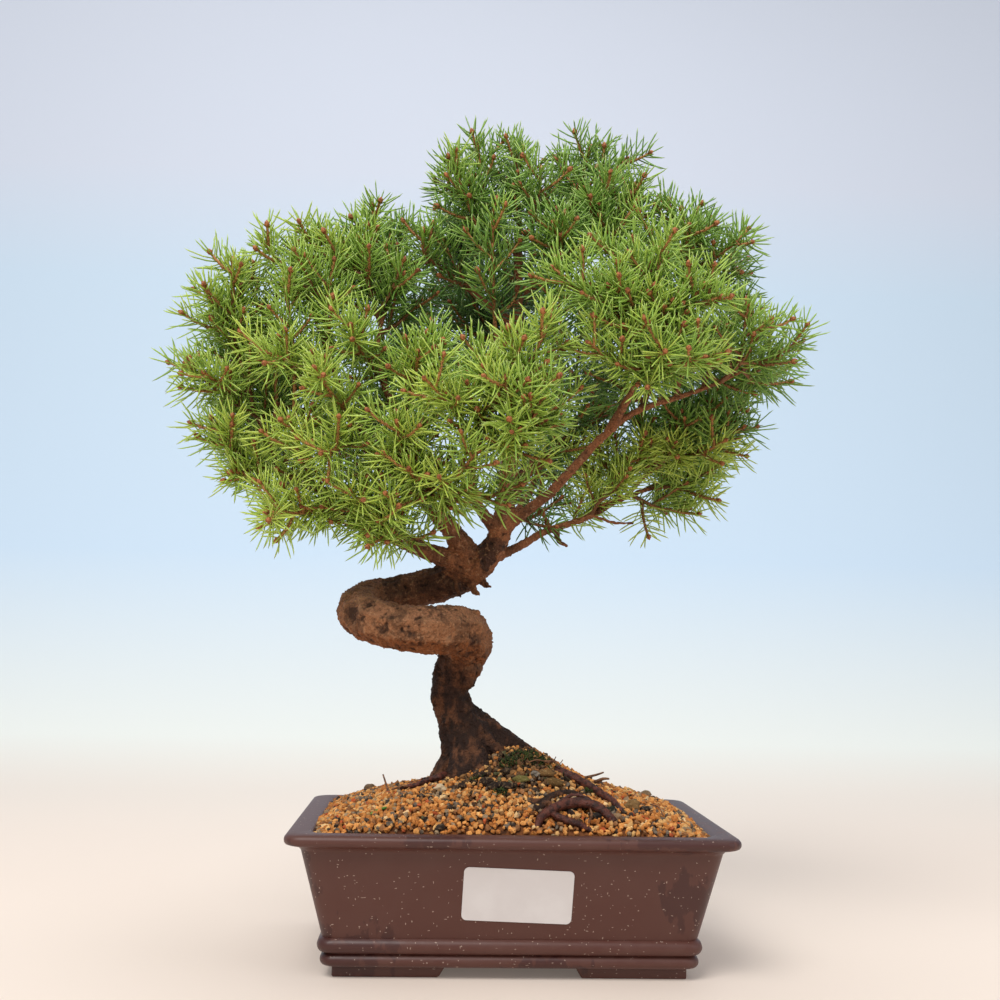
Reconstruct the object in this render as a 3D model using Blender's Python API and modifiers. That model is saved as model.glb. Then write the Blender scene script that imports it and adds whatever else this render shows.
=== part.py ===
"""A spruce bonsai with a corkscrew trunk, in a rectangular brown pot.

Metres, +Z up, +Y away from the viewer. The numbers below are millimetres, and MM turns them
into metres when a mesh is made. They are given round the middle of the pot's underside; the
frame of the whole part is set so that its box is centred on the origin.
"""

import math
import random
from typing import NamedTuple

import bmesh
import bpy
import numpy as np
from mathutils import Matrix, Vector, noise
from mathutils.bvhtree import BVHTree

MM = 0.001
SEED = 7
UP = Vector((0.0, 0.0, 1.0))
TINY = 1e-7

# The pot's middle in the frame of the part.
POT_PLACE = Vector((9.0, -4.0, 0.0))

# Pot: outer size of the rim, and the height over the feet.
POT_LENGTH = 205.0
POT_WIDTH = 152.0
POT_HEIGHT = 65.0
FOOT_HEIGHT = 5.0
POT_CORNER = 6.0
CORNER_STEPS = 3

CORNER_SHARPEN = 0.1
CORNER_LEAST = 2.5
SHARP_ANGLE = math.radians(35)

# The straight stretches of the wall, as (inset from the rim's outer edge, height).
OUTER_LOW = (16.2, 21.0)
OUTER_HIGH = (7.9, 54.0)
INNER_LOW = (21.5, 16.0)
INNER_HIGH = (12.0, 64.2)
WALL_LEAN = math.atan2(OUTER_LOW[0] - OUTER_HIGH[0], OUTER_HIGH[1] - OUTER_LOW[1])

# Walls and ribs from the underside up, and then down the inside.
POT_OUTSIDE = (
    (20.5, FOOT_HEIGHT), (17.4, 5.7), (16.4, 8.0), (17.2, 10.2), (18.4, 11.0), (16.0, 11.9),
    (15.0, 14.5), (15.7, 17.0), (17.0, 18.2), OUTER_LOW, OUTER_HIGH, (6.9, 57.4), (5.2, 59.2),
    (2.4, 59.9), (0.6, 60.7), (0.0, 62.4), (0.5, 64.2), (1.9, POT_HEIGHT),
)
POT_INSIDE = ((11.2, POT_HEIGHT), INNER_HIGH, INNER_LOW, (24.0, 13.0))

# Feet: one L at each corner of the underside.
FOOT_INSET = 22.0
FOOT_LONG = 48.0
FOOT_SHORT = 38.0
FOOT_BAND = 13.0
FOOT_SLOPE = 4.0
FOOT_SINK = 1.5
DRAIN_RADIUS = 6.0
DRAIN_SIDES = 16
DRAIN_DEPTH = 20.0
DRAIN_PLACES = (-42.0, 42.0)

# Soil: a mound of granules inside the walls.
GAP = 0.3
SOIL_EDGE = 62.5
SOIL_RISE = 20.0
SOIL_FALL = 0.6
KNOLL_PLACE = (5.0, 0.0)
KNOLL_SIZE = (27.0, 24.0)
KNOLL_RISE = 16.0
SOIL_CELL = 5.2
SOIL_TRIANGLES = 2000
GRANULE_RELIEF = 1.1
GRANULE_SHIFT = 1.0
HOLE_GAP = 0.85
HOLE_TOP = 112.0
HOLE_SIDES = 3

# Label: a blank sticker on the front wall.
LABEL_SIZE = (49.5, 25.0)
LABEL_CORNER = 2.4
LABEL_THICK = 0.4
LABEL_PLACE = (2.2, 38.4)
LABEL_TURN = math.radians(-2.0)

# The tree's points are given as seen from VIEWPOINT: (across, up) on the upright plane through
# the pot's middle, and the depth behind that plane.
VIEWPOINT = Vector((-36.6, -655.2, 152.4))

# Wood that grew as one piece, thickest first: (across, up, depth, radius).
WOOD = {
    "trunk": (
        (-14, 62, 4, 20), (-17, 80, 5, 18), (-21, 98, 6, 13.5), (-25.5, 112, 7, 11),
        (-29.5, 126, 9, 10.2), (-27, 138, 10, 11), (-21, 148, 4, 12.3), (-24, 156, -12, 12.5),
        (-38, 156.5, -24, 12.2), (-54, 157, -27, 11.6), (-68, 160, -21, 11.3),
        (-76.5, 165, -6, 11.2), (-72, 170.5, 12, 10.4), (-58, 174, 23, 9.8),
        (-42, 178, 24, 9.8), (-28, 183, 18, 9.6), (-17, 190, 11, 8.6), (-9, 199, 8, 6.4),
        (-5, 210, 6, 5.8), (-3, 225, 6, 5.3), (-1, 250, 9, 4.7), (0, 280, 11, 4.0),
        (1, 310, 12, 3.3), (1, 340, 12, 2.6), (1, 360, 10, 2.1), (1, 376, 10, 1.6),
    ),
    "root_right": ((-20, 116, 8, 7), (-6, 107, 8, 8), (8, 98, 6, 8), (22, 88, 4, 7), (38, 76, 0, 5)),
    "root_front": ((-22, 106, 2, 7), (-17, 94, -5, 7), (-11, 82, -12, 6), (-4, 70, -20, 5)),
    "root_left": ((-22, 106, 6, 6), (-27, 95, 4, 6.3), (-32, 84, 0, 6.2), (-40, 72, -6, 5)),
    "root_back": ((-20, 108, 10, 7), (-16, 96, 20, 7.5), (-10, 82, 30, 6.5), (-4, 70, 40, 5)),
    "root_arc": (
        (-4, 78, -16, 3.6), (8, 72, -38, 2.4), (16, 68, -50, 2.0), (20, 73, -42, 2.0), (28, 76, -34, 2.1),
        (37, 75, -31, 2.0), (43, 72, -33, 2.0), (48, 67, -37, 1.9),
    ),
    "root_low": ((9, 72, -40, 2.2), (22, 70.5, -46, 1.8), (30, 68, -50, 1.8), (36, 62, -55, 1.7)),
    "root_thin": ((-30, 84, 4, 2.6), (-43, 81, 5, 1.7), (-51, 78, 5, 1.5), (-58, 72, 5, 1.4)),
    "bough_left": (
        (-18, 187, 12, 7.5), (-30, 192, 7, 6.8), (-40, 195, 2, 6.1), (-50, 199, -3, 5.5),
        (-62, 204, -8, 4.9), (-75, 210, -12, 4.4), (-87, 219, -15, 3.9), (-100, 227, -16, 3.3),
        (-112, 231, -12, 2.8), (-119, 236, -8, 2.3), (-124, 249, -8, 1.9), (-133, 266, -10, 1.5),
    ),
    "bough_middle": (
        (-17, 189, 11, 6.5), (-25, 197, 6, 5.8), (-31, 206, 0, 5.3), (-37, 213, -5, 4.9),
        (-44, 221, -10, 4.5), (-56, 233, -16, 3.9), (-70, 245, -20, 3.2), (-79, 258, -22, 2.6),
        (-87, 272, -22, 2.1), (-92, 285, -22, 1.8), (-96, 299, -22, 1.5),
    ),
    "bough_middle_up": (
        (-50, 227, -13, 3.2), (-54, 245, -10, 2.5), (-58, 264, -8, 2.1), (-67, 281, -8, 1.9),
        (-71, 300, -8, 1.6), (-69, 317, -8, 1.4),
    ),
    "bough_right": (
        (-4, 208, 6, 5.0), (9, 219, 2, 4.3), (19, 227, -2, 4.0), (27, 236, -5, 3.8),
        (35, 245, -8, 3.6), (43, 254, -11, 3.3), (57, 267, -17, 2.9), (70, 274, -20, 2.6),
        (82, 278, -22, 2.3), (96, 283, -25, 2.0), (110, 289, -27, 1.7), (122, 296, -29, 1.4),
    ),
    "bough_right_low": (
        (-12, 192, 11, 5.0), (-3, 196, 14, 3.9), (8, 202, 20, 3.3), (16, 207, 24, 3.1),
        (30, 212, 30, 2.8), (42, 217, 34, 2.6), (54, 224, 38, 2.3), (68, 230, 42, 1.9), (80, 232, 42, 1.5),
    ),
    "bough_right_back": (
        (66, 272, -19, 2.4), (75, 294, -6, 1.9), (86, 314, 4, 1.6), (98, 330, 9, 1.4),
    ),
    "bough_front_right": (
        (50, 261, -13, 3.0), (56, 272, -27, 2.3), (61, 281, -38, 2.0), (67, 293, -46, 1.8),
        (71, 306, -50, 1.6), (72, 323, -54, 1.4),
    ),
    "bough_front": (
        (-5, 206, 6, 5.0), (-13, 214, 1, 3.3), (-19, 223, -8, 2.8), (-21, 234, -23, 2.3),
        (-20, 245, -39, 2.0), (-18, 254, -51, 1.7),
    ),
    "bough_back_left": (
        (-16, 190, 12, 6.0), (-27, 204, 26, 4.4), (-42, 221, 42, 3.6), (-60, 239, 56, 2.9),
        (-77, 255, 66, 2.3), (-91, 269, 73, 1.7),
    ),
    "bough_back_right": (
        (-3, 222, 6, 4.6), (8, 239, 25, 3.5), (26, 255, 44, 2.9), (46, 268, 58, 2.3), (66, 279, 68, 1.7),
    ),
    "bough_back_up": ((0, 286, 11, 3.2), (-8, 303, 30, 2.4), (-16, 321, 48, 1.9), (-22, 337, 60, 1.5)),
    "bough_back_low": ((-9, 197, 9, 5.0), (-2, 210, 32, 3.4), (6, 222, 53, 2.6), (13, 237, 72, 1.8)),
    "bough_upper_left": ((1, 314, 12, 2.8), (-13, 324, 9, 2.1), (-26, 334, 3, 1.7), (-39, 344, -5, 1.4)),
    "bough_upper_right": ((1, 330, 12, 2.6), (15, 342, 8, 2.0), (30, 351, 2, 1.7), (43, 357, -5, 1.4)),
}
UNDER_SOIL = (
    "trunk", "root_right", "root_front", "root_left", "root_back", "root_arc", "root_low", "root_thin",
)
SPANS_A_POINT = 24
WOOD_STEP = 2.5
WOOD_SIDES = 4
WOOD_VOXEL = 0.8
CAP_WELD = 0.01
BARK_RELIEF = 1.1
BARK_SCALE = 5.0
BARK_REACH = 3.0
BARK_FROM_RADIUS = 5.0
BARK_FROM_HEIGHT = 98.0
WOOD_TRIANGLES = 2650

# Stems of the needled sprays, from the wood out to the furthest tip: (across, up, depth).
SPRAYS = {
    "left_tip_low": ((-115, 233, -10), (-131, 238, -18), (-144, 243, -24), (-152, 258, -30)),
    "left_high": ((-133, 265, -10), (-138, 284, -10), (-146, 305, -12), (-153, 325, -12)),
    "left_high_inner": ((-123, 246, -8), (-122, 272, -2), (-125, 300, -2), (-134, 324, -4), (-142, 342, -5)),
    "left_middle": ((-117, 234, -9), (-113, 256, -20), (-113, 285, -26), (-116, 312, -30), (-120, 334, -32)),
    "left_bright_low": ((-86, 218, -15), (-97, 217, -32), (-109, 214, -45), (-124, 214, -56)),
    "left_bright_middle": ((-68, 207, -10), (-73, 214, -30), (-78, 220, -46), (-83, 226, -60)),
    "left_bright_inner": ((-50, 199, -3), (-56, 203, -24), (-62, 207, -40), (-68, 211, -54)),
    "left_front": ((-100, 227, -16), (-106, 238, -32), (-111, 250, -44), (-115, 262, -55)),
    "left_back_low": ((-111, 231, -12), (-120, 238, 8), (-131, 245, 26), (-141, 251, 40)),
    "left_back": ((-124, 249, -8), (-126, 262, 14), (-130, 280, 32), (-136, 298, 44)),
    "star": ((-79, 258, -22), (-88, 269, -42), (-97, 280, -58), (-103, 289, -72)),
    "middle_tall": ((-96, 297, -22), (-98, 312, -22), (-97, 328, -24), (-95, 346, -26)),
    "middle_left": ((-90, 280, -22), (-104, 286, -32), (-118, 293, -42), (-130, 297, -50)),
    "middle_front": ((-68, 283, -8), (-76, 294, -26), (-82, 303, -42), (-85, 312, -56)),
    "middle_high_left": ((-70, 312, -8), (-75, 328, -12), (-79, 344, -14), (-83, 358, -16)),
    "middle_high_back": ((-71, 298, -8), (-69, 322, 12), (-67, 346, 20), (-66, 367, 22)),
    "middle_low": ((-76, 253, -21), (-84, 249, -40), (-91, 247, -56), (-98, 245, -70)),
    "middle_bright": ((-56, 233, -16), (-57, 240, -38), (-58, 250, -56), (-60, 262, -70)),
    "middle_bright_low": ((-40, 217, -8), (-44, 222, -30), (-48, 229, -50), (-53, 238, -68)),
    "middle_inner": ((-58, 262, -8), (-54, 275, -28), (-51, 287, -44), (-50, 299, -56)),
    "top_leader": ((1, 372, 10), (0, 384, 10), (0, 397, 10), (2, 410, 10)),
    "top_left": ((1, 350, 11), (-10, 367, 8), (-18, 385, 7), (-22, 413, 7)),
    "top_left_front": ((1, 336, 12), (-14, 355, 0), (-25, 376, -8), (-34, 400, -12)),
    "top_right": ((1, 358, 10), (9, 371, -2), (11, 384, -9), (12, 398, -13)),
    "top_right_tall": ((29, 350, 2), (29, 367, 3), (31, 386, 3), (38, 411, 2)),
    "top_right_front": ((42, 356, -5), (47, 367, -12), (45, 378, -18), (48, 391, -22)),
    "upper_left_tip": ((-38, 343, -5), (-45, 348, -11), (-49, 353, -17), (-49, 363, -21)),
    "upper_left": ((-22, 331, 5), (-27, 338, -1), (-33, 347, -4), (-38, 358, -4)),
    "upper_front": ((0, 284, 11), (-9, 304, -12), (-12, 338, -22), (-13, 369, -26)),
    "upper_front_right": ((0, 270, 10), (14, 285, -8), (23, 302, -20), (23, 326, -26), (19, 347, -28)),
    "upper_right_front": ((24, 348, 4), (24, 352, -14), (22, 359, -28), (19, 370, -38)),
    "right_tip": ((119, 295, -29), (131, 300, -30), (141, 306, -30), (151, 311, -30)),
    "right_tip_high": ((108, 288, -27), (118, 298, -32), (125, 308, -36), (130, 318, -40)),
    "right_middle": ((84, 279, -22), (88, 292, -28), (93, 304, -33), (99, 316, -37)),
    "right_shoulder": ((98, 284, -25), (104, 300, -12), (110, 317, -6), (118, 334, -4)),
    "right_shoulder_high": ((96, 327, 8), (104, 338, 9), (111, 349, 10), (116, 362, 10)),
    "right_high": ((86, 314, 4), (87, 332, 3), (88, 351, 2), (92, 372, 2)),
    "front_right_tall": ((72, 319, -54), (74, 334, -58), (75, 345, -61), (75, 357, -64)),
    "front_right_inner": ((71, 305, -50), (66, 317, -60), (59, 329, -67), (49, 337, -72)),
    "front_right_low": ((65, 289, -44), (77, 293, -58), (88, 297, -70), (99, 301, -80)),
    "low_right_tip": ((78, 232, 42), (87, 231, 46), (94, 229, 49), (101, 227, 51)),
    "low_right_long": ((58, 226, 39), (74, 243, 32), (94, 256, 28), (115, 266, 26)),
    "low_right_inner": ((40, 216, 33), (50, 232, 26), (62, 246, 22), (74, 257, 18)),
    "front_middle": ((-18, 254, -51), (-13, 264, -64), (-9, 275, -74), (-5, 287, -82)),
    "front_right": ((-19, 248, -43), (-6, 254, -58), (6, 263, -72), (15, 277, -84)),
    "back_left_tip": ((-87, 265, 71), (-100, 280, 82), (-110, 297, 90)),
    "back_left": ((-70, 249, 62), (-76, 262, 82), (-80, 278, 97)),
    "back_left_high": ((-64, 243, 58), (-60, 268, 66), (-58, 296, 74), (-56, 320, 80)),
    "back_right_tip": ((62, 277, 66), (76, 289, 76), (88, 304, 84)),
    "back_right": ((40, 264, 54), (46, 276, 78), (50, 290, 96)),
    "back_right_high": ((54, 272, 62), (60, 296, 62), (64, 322, 60), (66, 344, 56)),
    "back_top": ((-21, 334, 58), (-28, 352, 71), (-35, 369, 81)),
    "back_top_right": ((-14, 317, 44), (-6, 330, 66), (0, 346, 84)),
    "back_low": ((12, 234, 68), (17, 246, 86), (22, 258, 97)),
}
# Second stems that fork off the foot of a spray's first one.
FORKS = {
    "left_high": ((-131, 263, -10), (-145, 271, -18), (-157, 280, -25), (-168, 289, -30)),
    "middle_tall": ((-95, 295, -22), (-104, 316, -12), (-108, 337, -6), (-107, 359, -4)),
    "middle_high_left": ((-69, 315, -8), (-65, 328, -4), (-62, 338, -2), (-60, 350, -2)),
    "front_middle": ((-18, 252, -49), (-27, 265, -64), (-37, 276, -76), (-46, 285, -86)),
    "front_right_tall": ((72, 313, -52), (82, 321, -60), (91, 330, -67), (99, 339, -73)),
    "top_right_front": ((39, 355, -3), (53, 362, 1), (61, 371, 2), (64, 384, 2)),
    "low_right_tip": ((68, 230, 42), (82, 236, 52), (94, 241, 58), (106, 245, 62)),
}

# Twigs of the sprays.
STEM_RADIUS = 1.05
STEM_LEAST = 5.0
SHOOT_RADIUS = 0.8
WHORL = 1.7
BETWEEN_WHORLS = 5.6
BARE_STEP = 8.0
FINE = 0.25
NEEDLED_LENGTH = 29.0
BUD_LENGTH = 2.6

# Side shoots of each stem. They lean forward off it, curve up, and are shorter further out.
SIDE_SHOOTS = 3
SIDE_LENGTH = 16.0
SIDE_TAPER = 0.4
SIDE_SPREAD = (0.9, 1.15)
SIDE_LEAN = math.radians(48)
SIDE_RISE = 0.25
SIDE_FORWARD = 0.3
SIDE_UP = 0.2
UPRIGHT = 0.3

# Needles, and how they sway, lean and shorten in each try to place one.
NEEDLE_LENGTH = 12.5
NEEDLE_SPREAD = (0.88, 1.12)
NEEDLE_LEAN = math.radians(52)
NEEDLE_TRIES = ((0, 0, 1), (0.22, 0, 1), (-0.22, 0, 1), (0, -0.25, 1), (0, 0.2, 0.9), (0, 0, 0.75))
NEEDLE_THICK = 0.6
NEEDLE_THIN = 0.4
NEEDLE_ROUND_ROOT = 7.0
NEEDLE_FOOT = 0.35
SWAY = 0.1

# Room that twigs and needles keep from each other and from the wood.
CLEAR = 0.4
CAP_GAP = 0.1
BURIED_MOST = 20.0
BEND_ROOM = 0.5
BEND_ROUNDS = 8
OWNERS_A_SPRAY = 10
RAYS = (Vector((0.31, 0.17, 0.93)).normalized(), Vector((-0.23, 0.88, -0.41)).normalized())


def material(name, color, roughness, metallic=0.0):
    """A Principled material of one colour."""
    made = bpy.data.materials.new(name)
    made.use_nodes = True
    shader = made.node_tree.nodes["Principled BSDF"]
    shader.inputs["Base Color"].default_value = (*color, 1.0)
    shader.inputs["Roughness"].default_value = roughness
    shader.inputs["Metallic"].default_value = metallic
    made.diffuse_color = (*color, 1.0)
    return made


def seen(across, up, depth):
    """The point that VIEWPOINT sees at (across, up) on the middle plane, at its own depth."""
    reach = (depth - VIEWPOINT.y) / -VIEWPOINT.y
    on_plane = Vector((across, 0.0, up))
    return VIEWPOINT + (on_plane - VIEWPOINT) * reach


def smooth_path(points, step):
    """Points `step` apart on a smooth curve through `points`, whose entries may be longer than 3."""
    rows = np.array(points, float)
    rows = np.vstack([2 * rows[0] - rows[1], rows, 2 * rows[-1] - rows[-2]])
    dense = []
    for a, b, c, d in zip(rows, rows[1:], rows[2:], rows[3:]):
        for t in np.linspace(0, 1, SPANS_A_POINT, endpoint=False):
            square = (2 * a - 5 * b + 4 * c - d) * t**2
            cube = (3 * b - a - 3 * c + d) * t**3
            dense.append(b + 0.5 * ((c - a) * t + square + cube))
    dense = np.array(dense + [rows[-2]])
    lengths = np.linalg.norm(np.diff(dense[:, :3], axis=0), axis=1)
    along = np.concatenate([[0], np.cumsum(lengths)])
    count = max(2, round(along[-1] / step) + 1)
    wanted = np.linspace(0, along[-1], count)
    return np.column_stack([np.interp(wanted, along, column) for column in dense.T])


def wood_path(name):
    """The smooth centreline of a piece of wood, as rows of x, y, z and radius."""
    rows = [(*seen(across, up, depth), radius) for across, up, depth, radius in WOOD[name]]
    return smooth_path(rows, WOOD_STEP)


def collection(name):
    """A new collection of the scene."""
    made = bpy.data.collections.new(name)
    bpy.context.scene.collection.children.link(made)
    return made


def mesh_object(name, bm, home, parent=None, dress=None, faces_out=False):
    """An object from a bmesh in millimetres. Its faces are turned outwards unless they already are."""
    if not faces_out:
        bmesh.ops.recalc_face_normals(bm, faces=bm.faces)
    bm.transform(Matrix.Scale(MM, 4))
    mesh = bpy.data.meshes.new(name)
    bm.to_mesh(mesh)
    bm.free()
    made = bpy.data.objects.new(name, mesh)
    home.objects.link(made)
    made.parent = parent
    if dress:
        mesh.materials.append(dress)
    return made


def curve_tube(name, rows, home, swell=0.0, sides=WOOD_SIDES):
    """A round tube along rows of x, y, z and radius, as a mesh with its caps welded."""
    curve = bpy.data.curves.new(name, "CURVE")
    curve.dimensions = "3D"
    curve.bevel_depth = MM
    curve.bevel_resolution = sides
    curve.use_fill_caps = True
    spline = curve.splines.new("POLY")
    spline.points.add(len(rows) - 1)
    for point, (x, y, z, radius) in zip(spline.points, rows):
        point.co = (x * MM, y * MM, z * MM, 1.0)
        point.radius = (radius + swell) / (math.cos(math.pi / (4 + 2 * sides)) if swell else 1)
    guide = bpy.data.objects.new(name, curve)
    home.objects.link(guide)
    graph = bpy.context.evaluated_depsgraph_get()
    mesh = bpy.data.meshes.new_from_object(guide.evaluated_get(graph))
    made = bpy.data.objects.new(f"{name}_tube", mesh)
    made.matrix_world = guide.matrix_world
    home.objects.link(made)
    bpy.data.objects.remove(guide)
    bm = bmesh.new()
    bm.from_mesh(mesh)
    bmesh.ops.remove_doubles(bm, verts=bm.verts, dist=CAP_WELD * MM)
    bmesh.ops.recalc_face_normals(bm, faces=bm.faces)
    bm.to_mesh(mesh)
    bm.free()
    return made


def apply_modifiers(piece):
    """The object's mesh with its modifiers in it."""
    graph = bpy.context.evaluated_depsgraph_get()
    mesh = bpy.data.meshes.new_from_object(piece.evaluated_get(graph))
    piece.modifiers.clear()
    piece.data = mesh


def empty_collection(home):
    """Takes the helpers out again once they are built in."""
    for helper in list(home.objects):
        bpy.data.objects.remove(helper)


def hide_helpers(home):
    """Keeps helpers out of a render, and draws them as wires."""
    for helper in home.objects:
        helper.hide_render = True
        helper.display_type = "WIRE"


def boolean(piece, operation, home):
    """Joins or cuts a piece with all the helpers of a collection."""
    hide_helpers(home)
    joined = piece.modifiers.new(operation.title(), "BOOLEAN")
    joined.operation = operation
    joined.operand_type = "COLLECTION"
    joined.collection = home
    apply_modifiers(piece)
    empty_collection(home)


def keep_largest(bm):
    """Drops every loose scrap but the biggest body. Bodies that meet at a corner only are apart."""
    islands = []
    left = set(bm.faces)
    while left:
        queue = [left.pop()]
        island = set(queue)
        while queue:
            for edge in queue.pop().edges:
                for face in edge.link_faces:
                    if face in left:
                        left.discard(face)
                        island.add(face)
                        queue.append(face)
        islands.append(island)
    islands.sort(key=len)
    scraps = [face for island in islands[:-1] for face in island]
    bmesh.ops.delete(bm, geom=scraps, context="FACES")


def clean(piece, triangles):
    """The piece without loose scraps, brought down to so many triangles."""
    bm = bmesh.new()
    bm.from_mesh(piece.data)
    keep_largest(bm)
    bmesh.ops.triangulate(bm, faces=bm.faces)
    count = len(bm.faces)
    bm.to_mesh(piece.data)
    bm.free()
    fewer = piece.modifiers.new("Fewer", "DECIMATE")
    fewer.ratio = triangles / count
    apply_modifiers(piece)


def rounded_rectangle(length, width, corner, steps=CORNER_STEPS):
    """Points round a rectangle with round corners, anticlockwise."""
    points = []
    for quarter in range(4):
        sign_x = 1 if quarter in (0, 3) else -1
        sign_y = 1 if quarter < 2 else -1
        middle = Vector((sign_x * (length / 2 - corner), sign_y * (width / 2 - corner)))
        for step in range(steps + 1):
            turn = (quarter + step / steps) * math.pi / 2
            points.append(middle + corner * Vector((math.cos(turn), math.sin(turn))))
    return points


def loft(bm, rings):
    """A closed body through rings of points of equal count, the first and last filled."""
    verts = [[bm.verts.new(point) for point in ring] for ring in rings]
    for low, high in zip(verts, verts[1:]):
        for i in range(len(low)):
            j = (i + 1) % len(low)
            bm.faces.new((low[i], low[j], high[j], high[i]))
    bm.faces.new(verts[0][::-1])
    bm.faces.new(verts[-1])


def pot_ring(inset, height):
    """The pot's outline at a height, its corners sharper further in."""
    corner = max(POT_CORNER - CORNER_SHARPEN * inset, CORNER_LEAST)
    outline = rounded_rectangle(POT_LENGTH - 2 * inset, POT_WIDTH - 2 * inset, corner)
    return [(point.x, point.y, height) for point in outline]


def foot_outline(grow):
    """One L, in the corner where x and y are positive, `grow` longer at its sloping ends."""
    far_x = POT_LENGTH / 2 - FOOT_INSET
    far_y = POT_WIDTH / 2 - FOOT_INSET
    near_x = far_x - FOOT_LONG - grow
    near_y = far_y - FOOT_SHORT - grow
    return (
        (far_x, far_y), (near_x, far_y), (near_x, far_y - FOOT_BAND),
        (far_x - FOOT_BAND, far_y - FOOT_BAND), (far_x - FOOT_BAND, near_y), (far_x, near_y),
    )


def make_pot(home, cutters, parent, dress):
    """The pot: lofted walls, with four feet joined on and the drain holes cut."""
    bm = bmesh.new()
    loft(bm, [pot_ring(*place) for place in POT_OUTSIDE + POT_INSIDE])
    pot = mesh_object("pot", bm, home, parent, dress)
    for sign_x in (-1, 1):
        for sign_y in (-1, 1):
            bm = bmesh.new()
            low = [(sign_x * x, sign_y * y, 0.0) for x, y in foot_outline(0.0)]
            high = [
                (sign_x * x, sign_y * y, FOOT_HEIGHT + FOOT_SINK) for x, y in foot_outline(FOOT_SLOPE)
            ]
            loft(bm, [low, high])
            mesh_object(f"foot_{sign_x}_{sign_y}", bm, cutters, parent)
    boolean(pot, "UNION", cutters)
    for place in DRAIN_PLACES:
        bm = bmesh.new()
        middle = Matrix.Translation((place, 0.0, FOOT_HEIGHT))
        bmesh.ops.create_cone(
            bm,
            cap_ends=True,
            segments=DRAIN_SIDES,
            radius1=DRAIN_RADIUS,
            radius2=DRAIN_RADIUS,
            depth=DRAIN_DEPTH,
            matrix=middle,
        )
        mesh_object(f"drain_{place:.0f}", bm, cutters, parent)
    boolean(pot, "DIFFERENCE", cutters)
    pot.data.shade_smooth()
    pot.data.set_sharp_from_angle(angle=SHARP_ANGLE)


def mound(x, y):
    """The height of the soil without its granules."""
    half_x = POT_LENGTH / 2 - POT_INSIDE[0][0]
    half_y = POT_WIDTH / 2 - POT_INSIDE[0][0]
    dome = max(0.0, 1 - (x / half_x) ** 2) * max(0.0, 1 - (y / half_y) ** 2)
    off_x = (x - KNOLL_PLACE[0]) / KNOLL_SIZE[0]
    off_y = (y - KNOLL_PLACE[1]) / KNOLL_SIZE[1]
    knoll = math.exp(-(off_x**2) - off_y**2)
    return SOIL_EDGE + SOIL_RISE * dome**SOIL_FALL + KNOLL_RISE * knoll


def inner_half(height):
    """Half the length and half the width of the room inside the walls at a height."""
    (low_inset, low), (high_inset, high) = INNER_LOW, INNER_HIGH
    inset = np.interp(height, (low, high), (low_inset, high_inset)) + GAP
    return POT_LENGTH / 2 - inset, POT_WIDTH / 2 - inset


def round_corner(x, y, half_x, half_y):
    """A point of a rectangle, pulled in where it lies outside the round corners."""
    arm = Vector((abs(x) - half_x + POT_CORNER, abs(y) - half_y + POT_CORNER))
    if min(arm) > 0 and arm.length > POT_CORNER:
        arm *= POT_CORNER / arm.length
        x = math.copysign(half_x - POT_CORNER + arm.x, x)
        y = math.copysign(half_y - POT_CORNER + arm.y, y)
    return x, y


def make_soil(home, cutters, parent, dress):
    """The soil: a bumpy mound with a flat base, and a hole for each root that goes down into it."""
    draw = random.Random(SEED)
    half_x, half_y = inner_half(SOIL_EDGE)
    cells_x = round(2 * half_x / SOIL_CELL)
    cells_y = round(2 * half_y / SOIL_CELL)
    bm = bmesh.new()
    bmesh.ops.create_grid(bm, x_segments=cells_x, y_segments=cells_y, size=1.0)
    for vert in bm.verts:
        edge = vert.is_boundary
        x = vert.co.x * half_x + (0 if edge else draw.uniform(-GRANULE_SHIFT, GRANULE_SHIFT))
        y = vert.co.y * half_y + (0 if edge else draw.uniform(-GRANULE_SHIFT, GRANULE_SHIFT))
        bump = 0 if edge else draw.uniform(-GRANULE_RELIEF, GRANULE_RELIEF)
        x, y = round_corner(x, y, half_x, half_y)
        vert.co = (x, y, SOIL_EDGE if edge else mound(x, y) + bump)
    bmesh.ops.triangulate(bm, faces=bm.faces)
    rim = [edge for edge in bm.edges if edge.is_boundary]
    floor = INNER_LOW[1] + GAP
    low_x, low_y = inner_half(floor)
    corners = rounded_rectangle(2 * low_x, 2 * low_y, POT_CORNER)
    base = [bm.verts.new((point.x, point.y, floor)) for point in corners]
    base_edges = [bm.edges.new((a, b)) for a, b in zip(base, base[1:] + base[:1])]
    bmesh.ops.bridge_loops(bm, edges=rim + base_edges)
    bm.faces.new(base[::-1])
    bmesh.ops.triangulate(bm, faces=[face for face in bm.faces if len(face.verts) > 3])
    soil = mesh_object("soil", bm, home, parent, dress)
    for name in UNDER_SOIL:
        rows = wood_path(name)
        if name == "trunk":
            rows = rows[rows[:, 2] < HOLE_TOP]
        first, last = 2 * rows[0] - rows[1], 2 * rows[-1] - rows[-2]
        rows = np.vstack([first, rows[:-1], rows[-1], last])
        tube = curve_tube(name, rows, cutters, HOLE_GAP, HOLE_SIDES)
        tube.parent = parent
    boolean(soil, "DIFFERENCE", cutters)
    clean(soil, SOIL_TRIANGLES)


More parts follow.
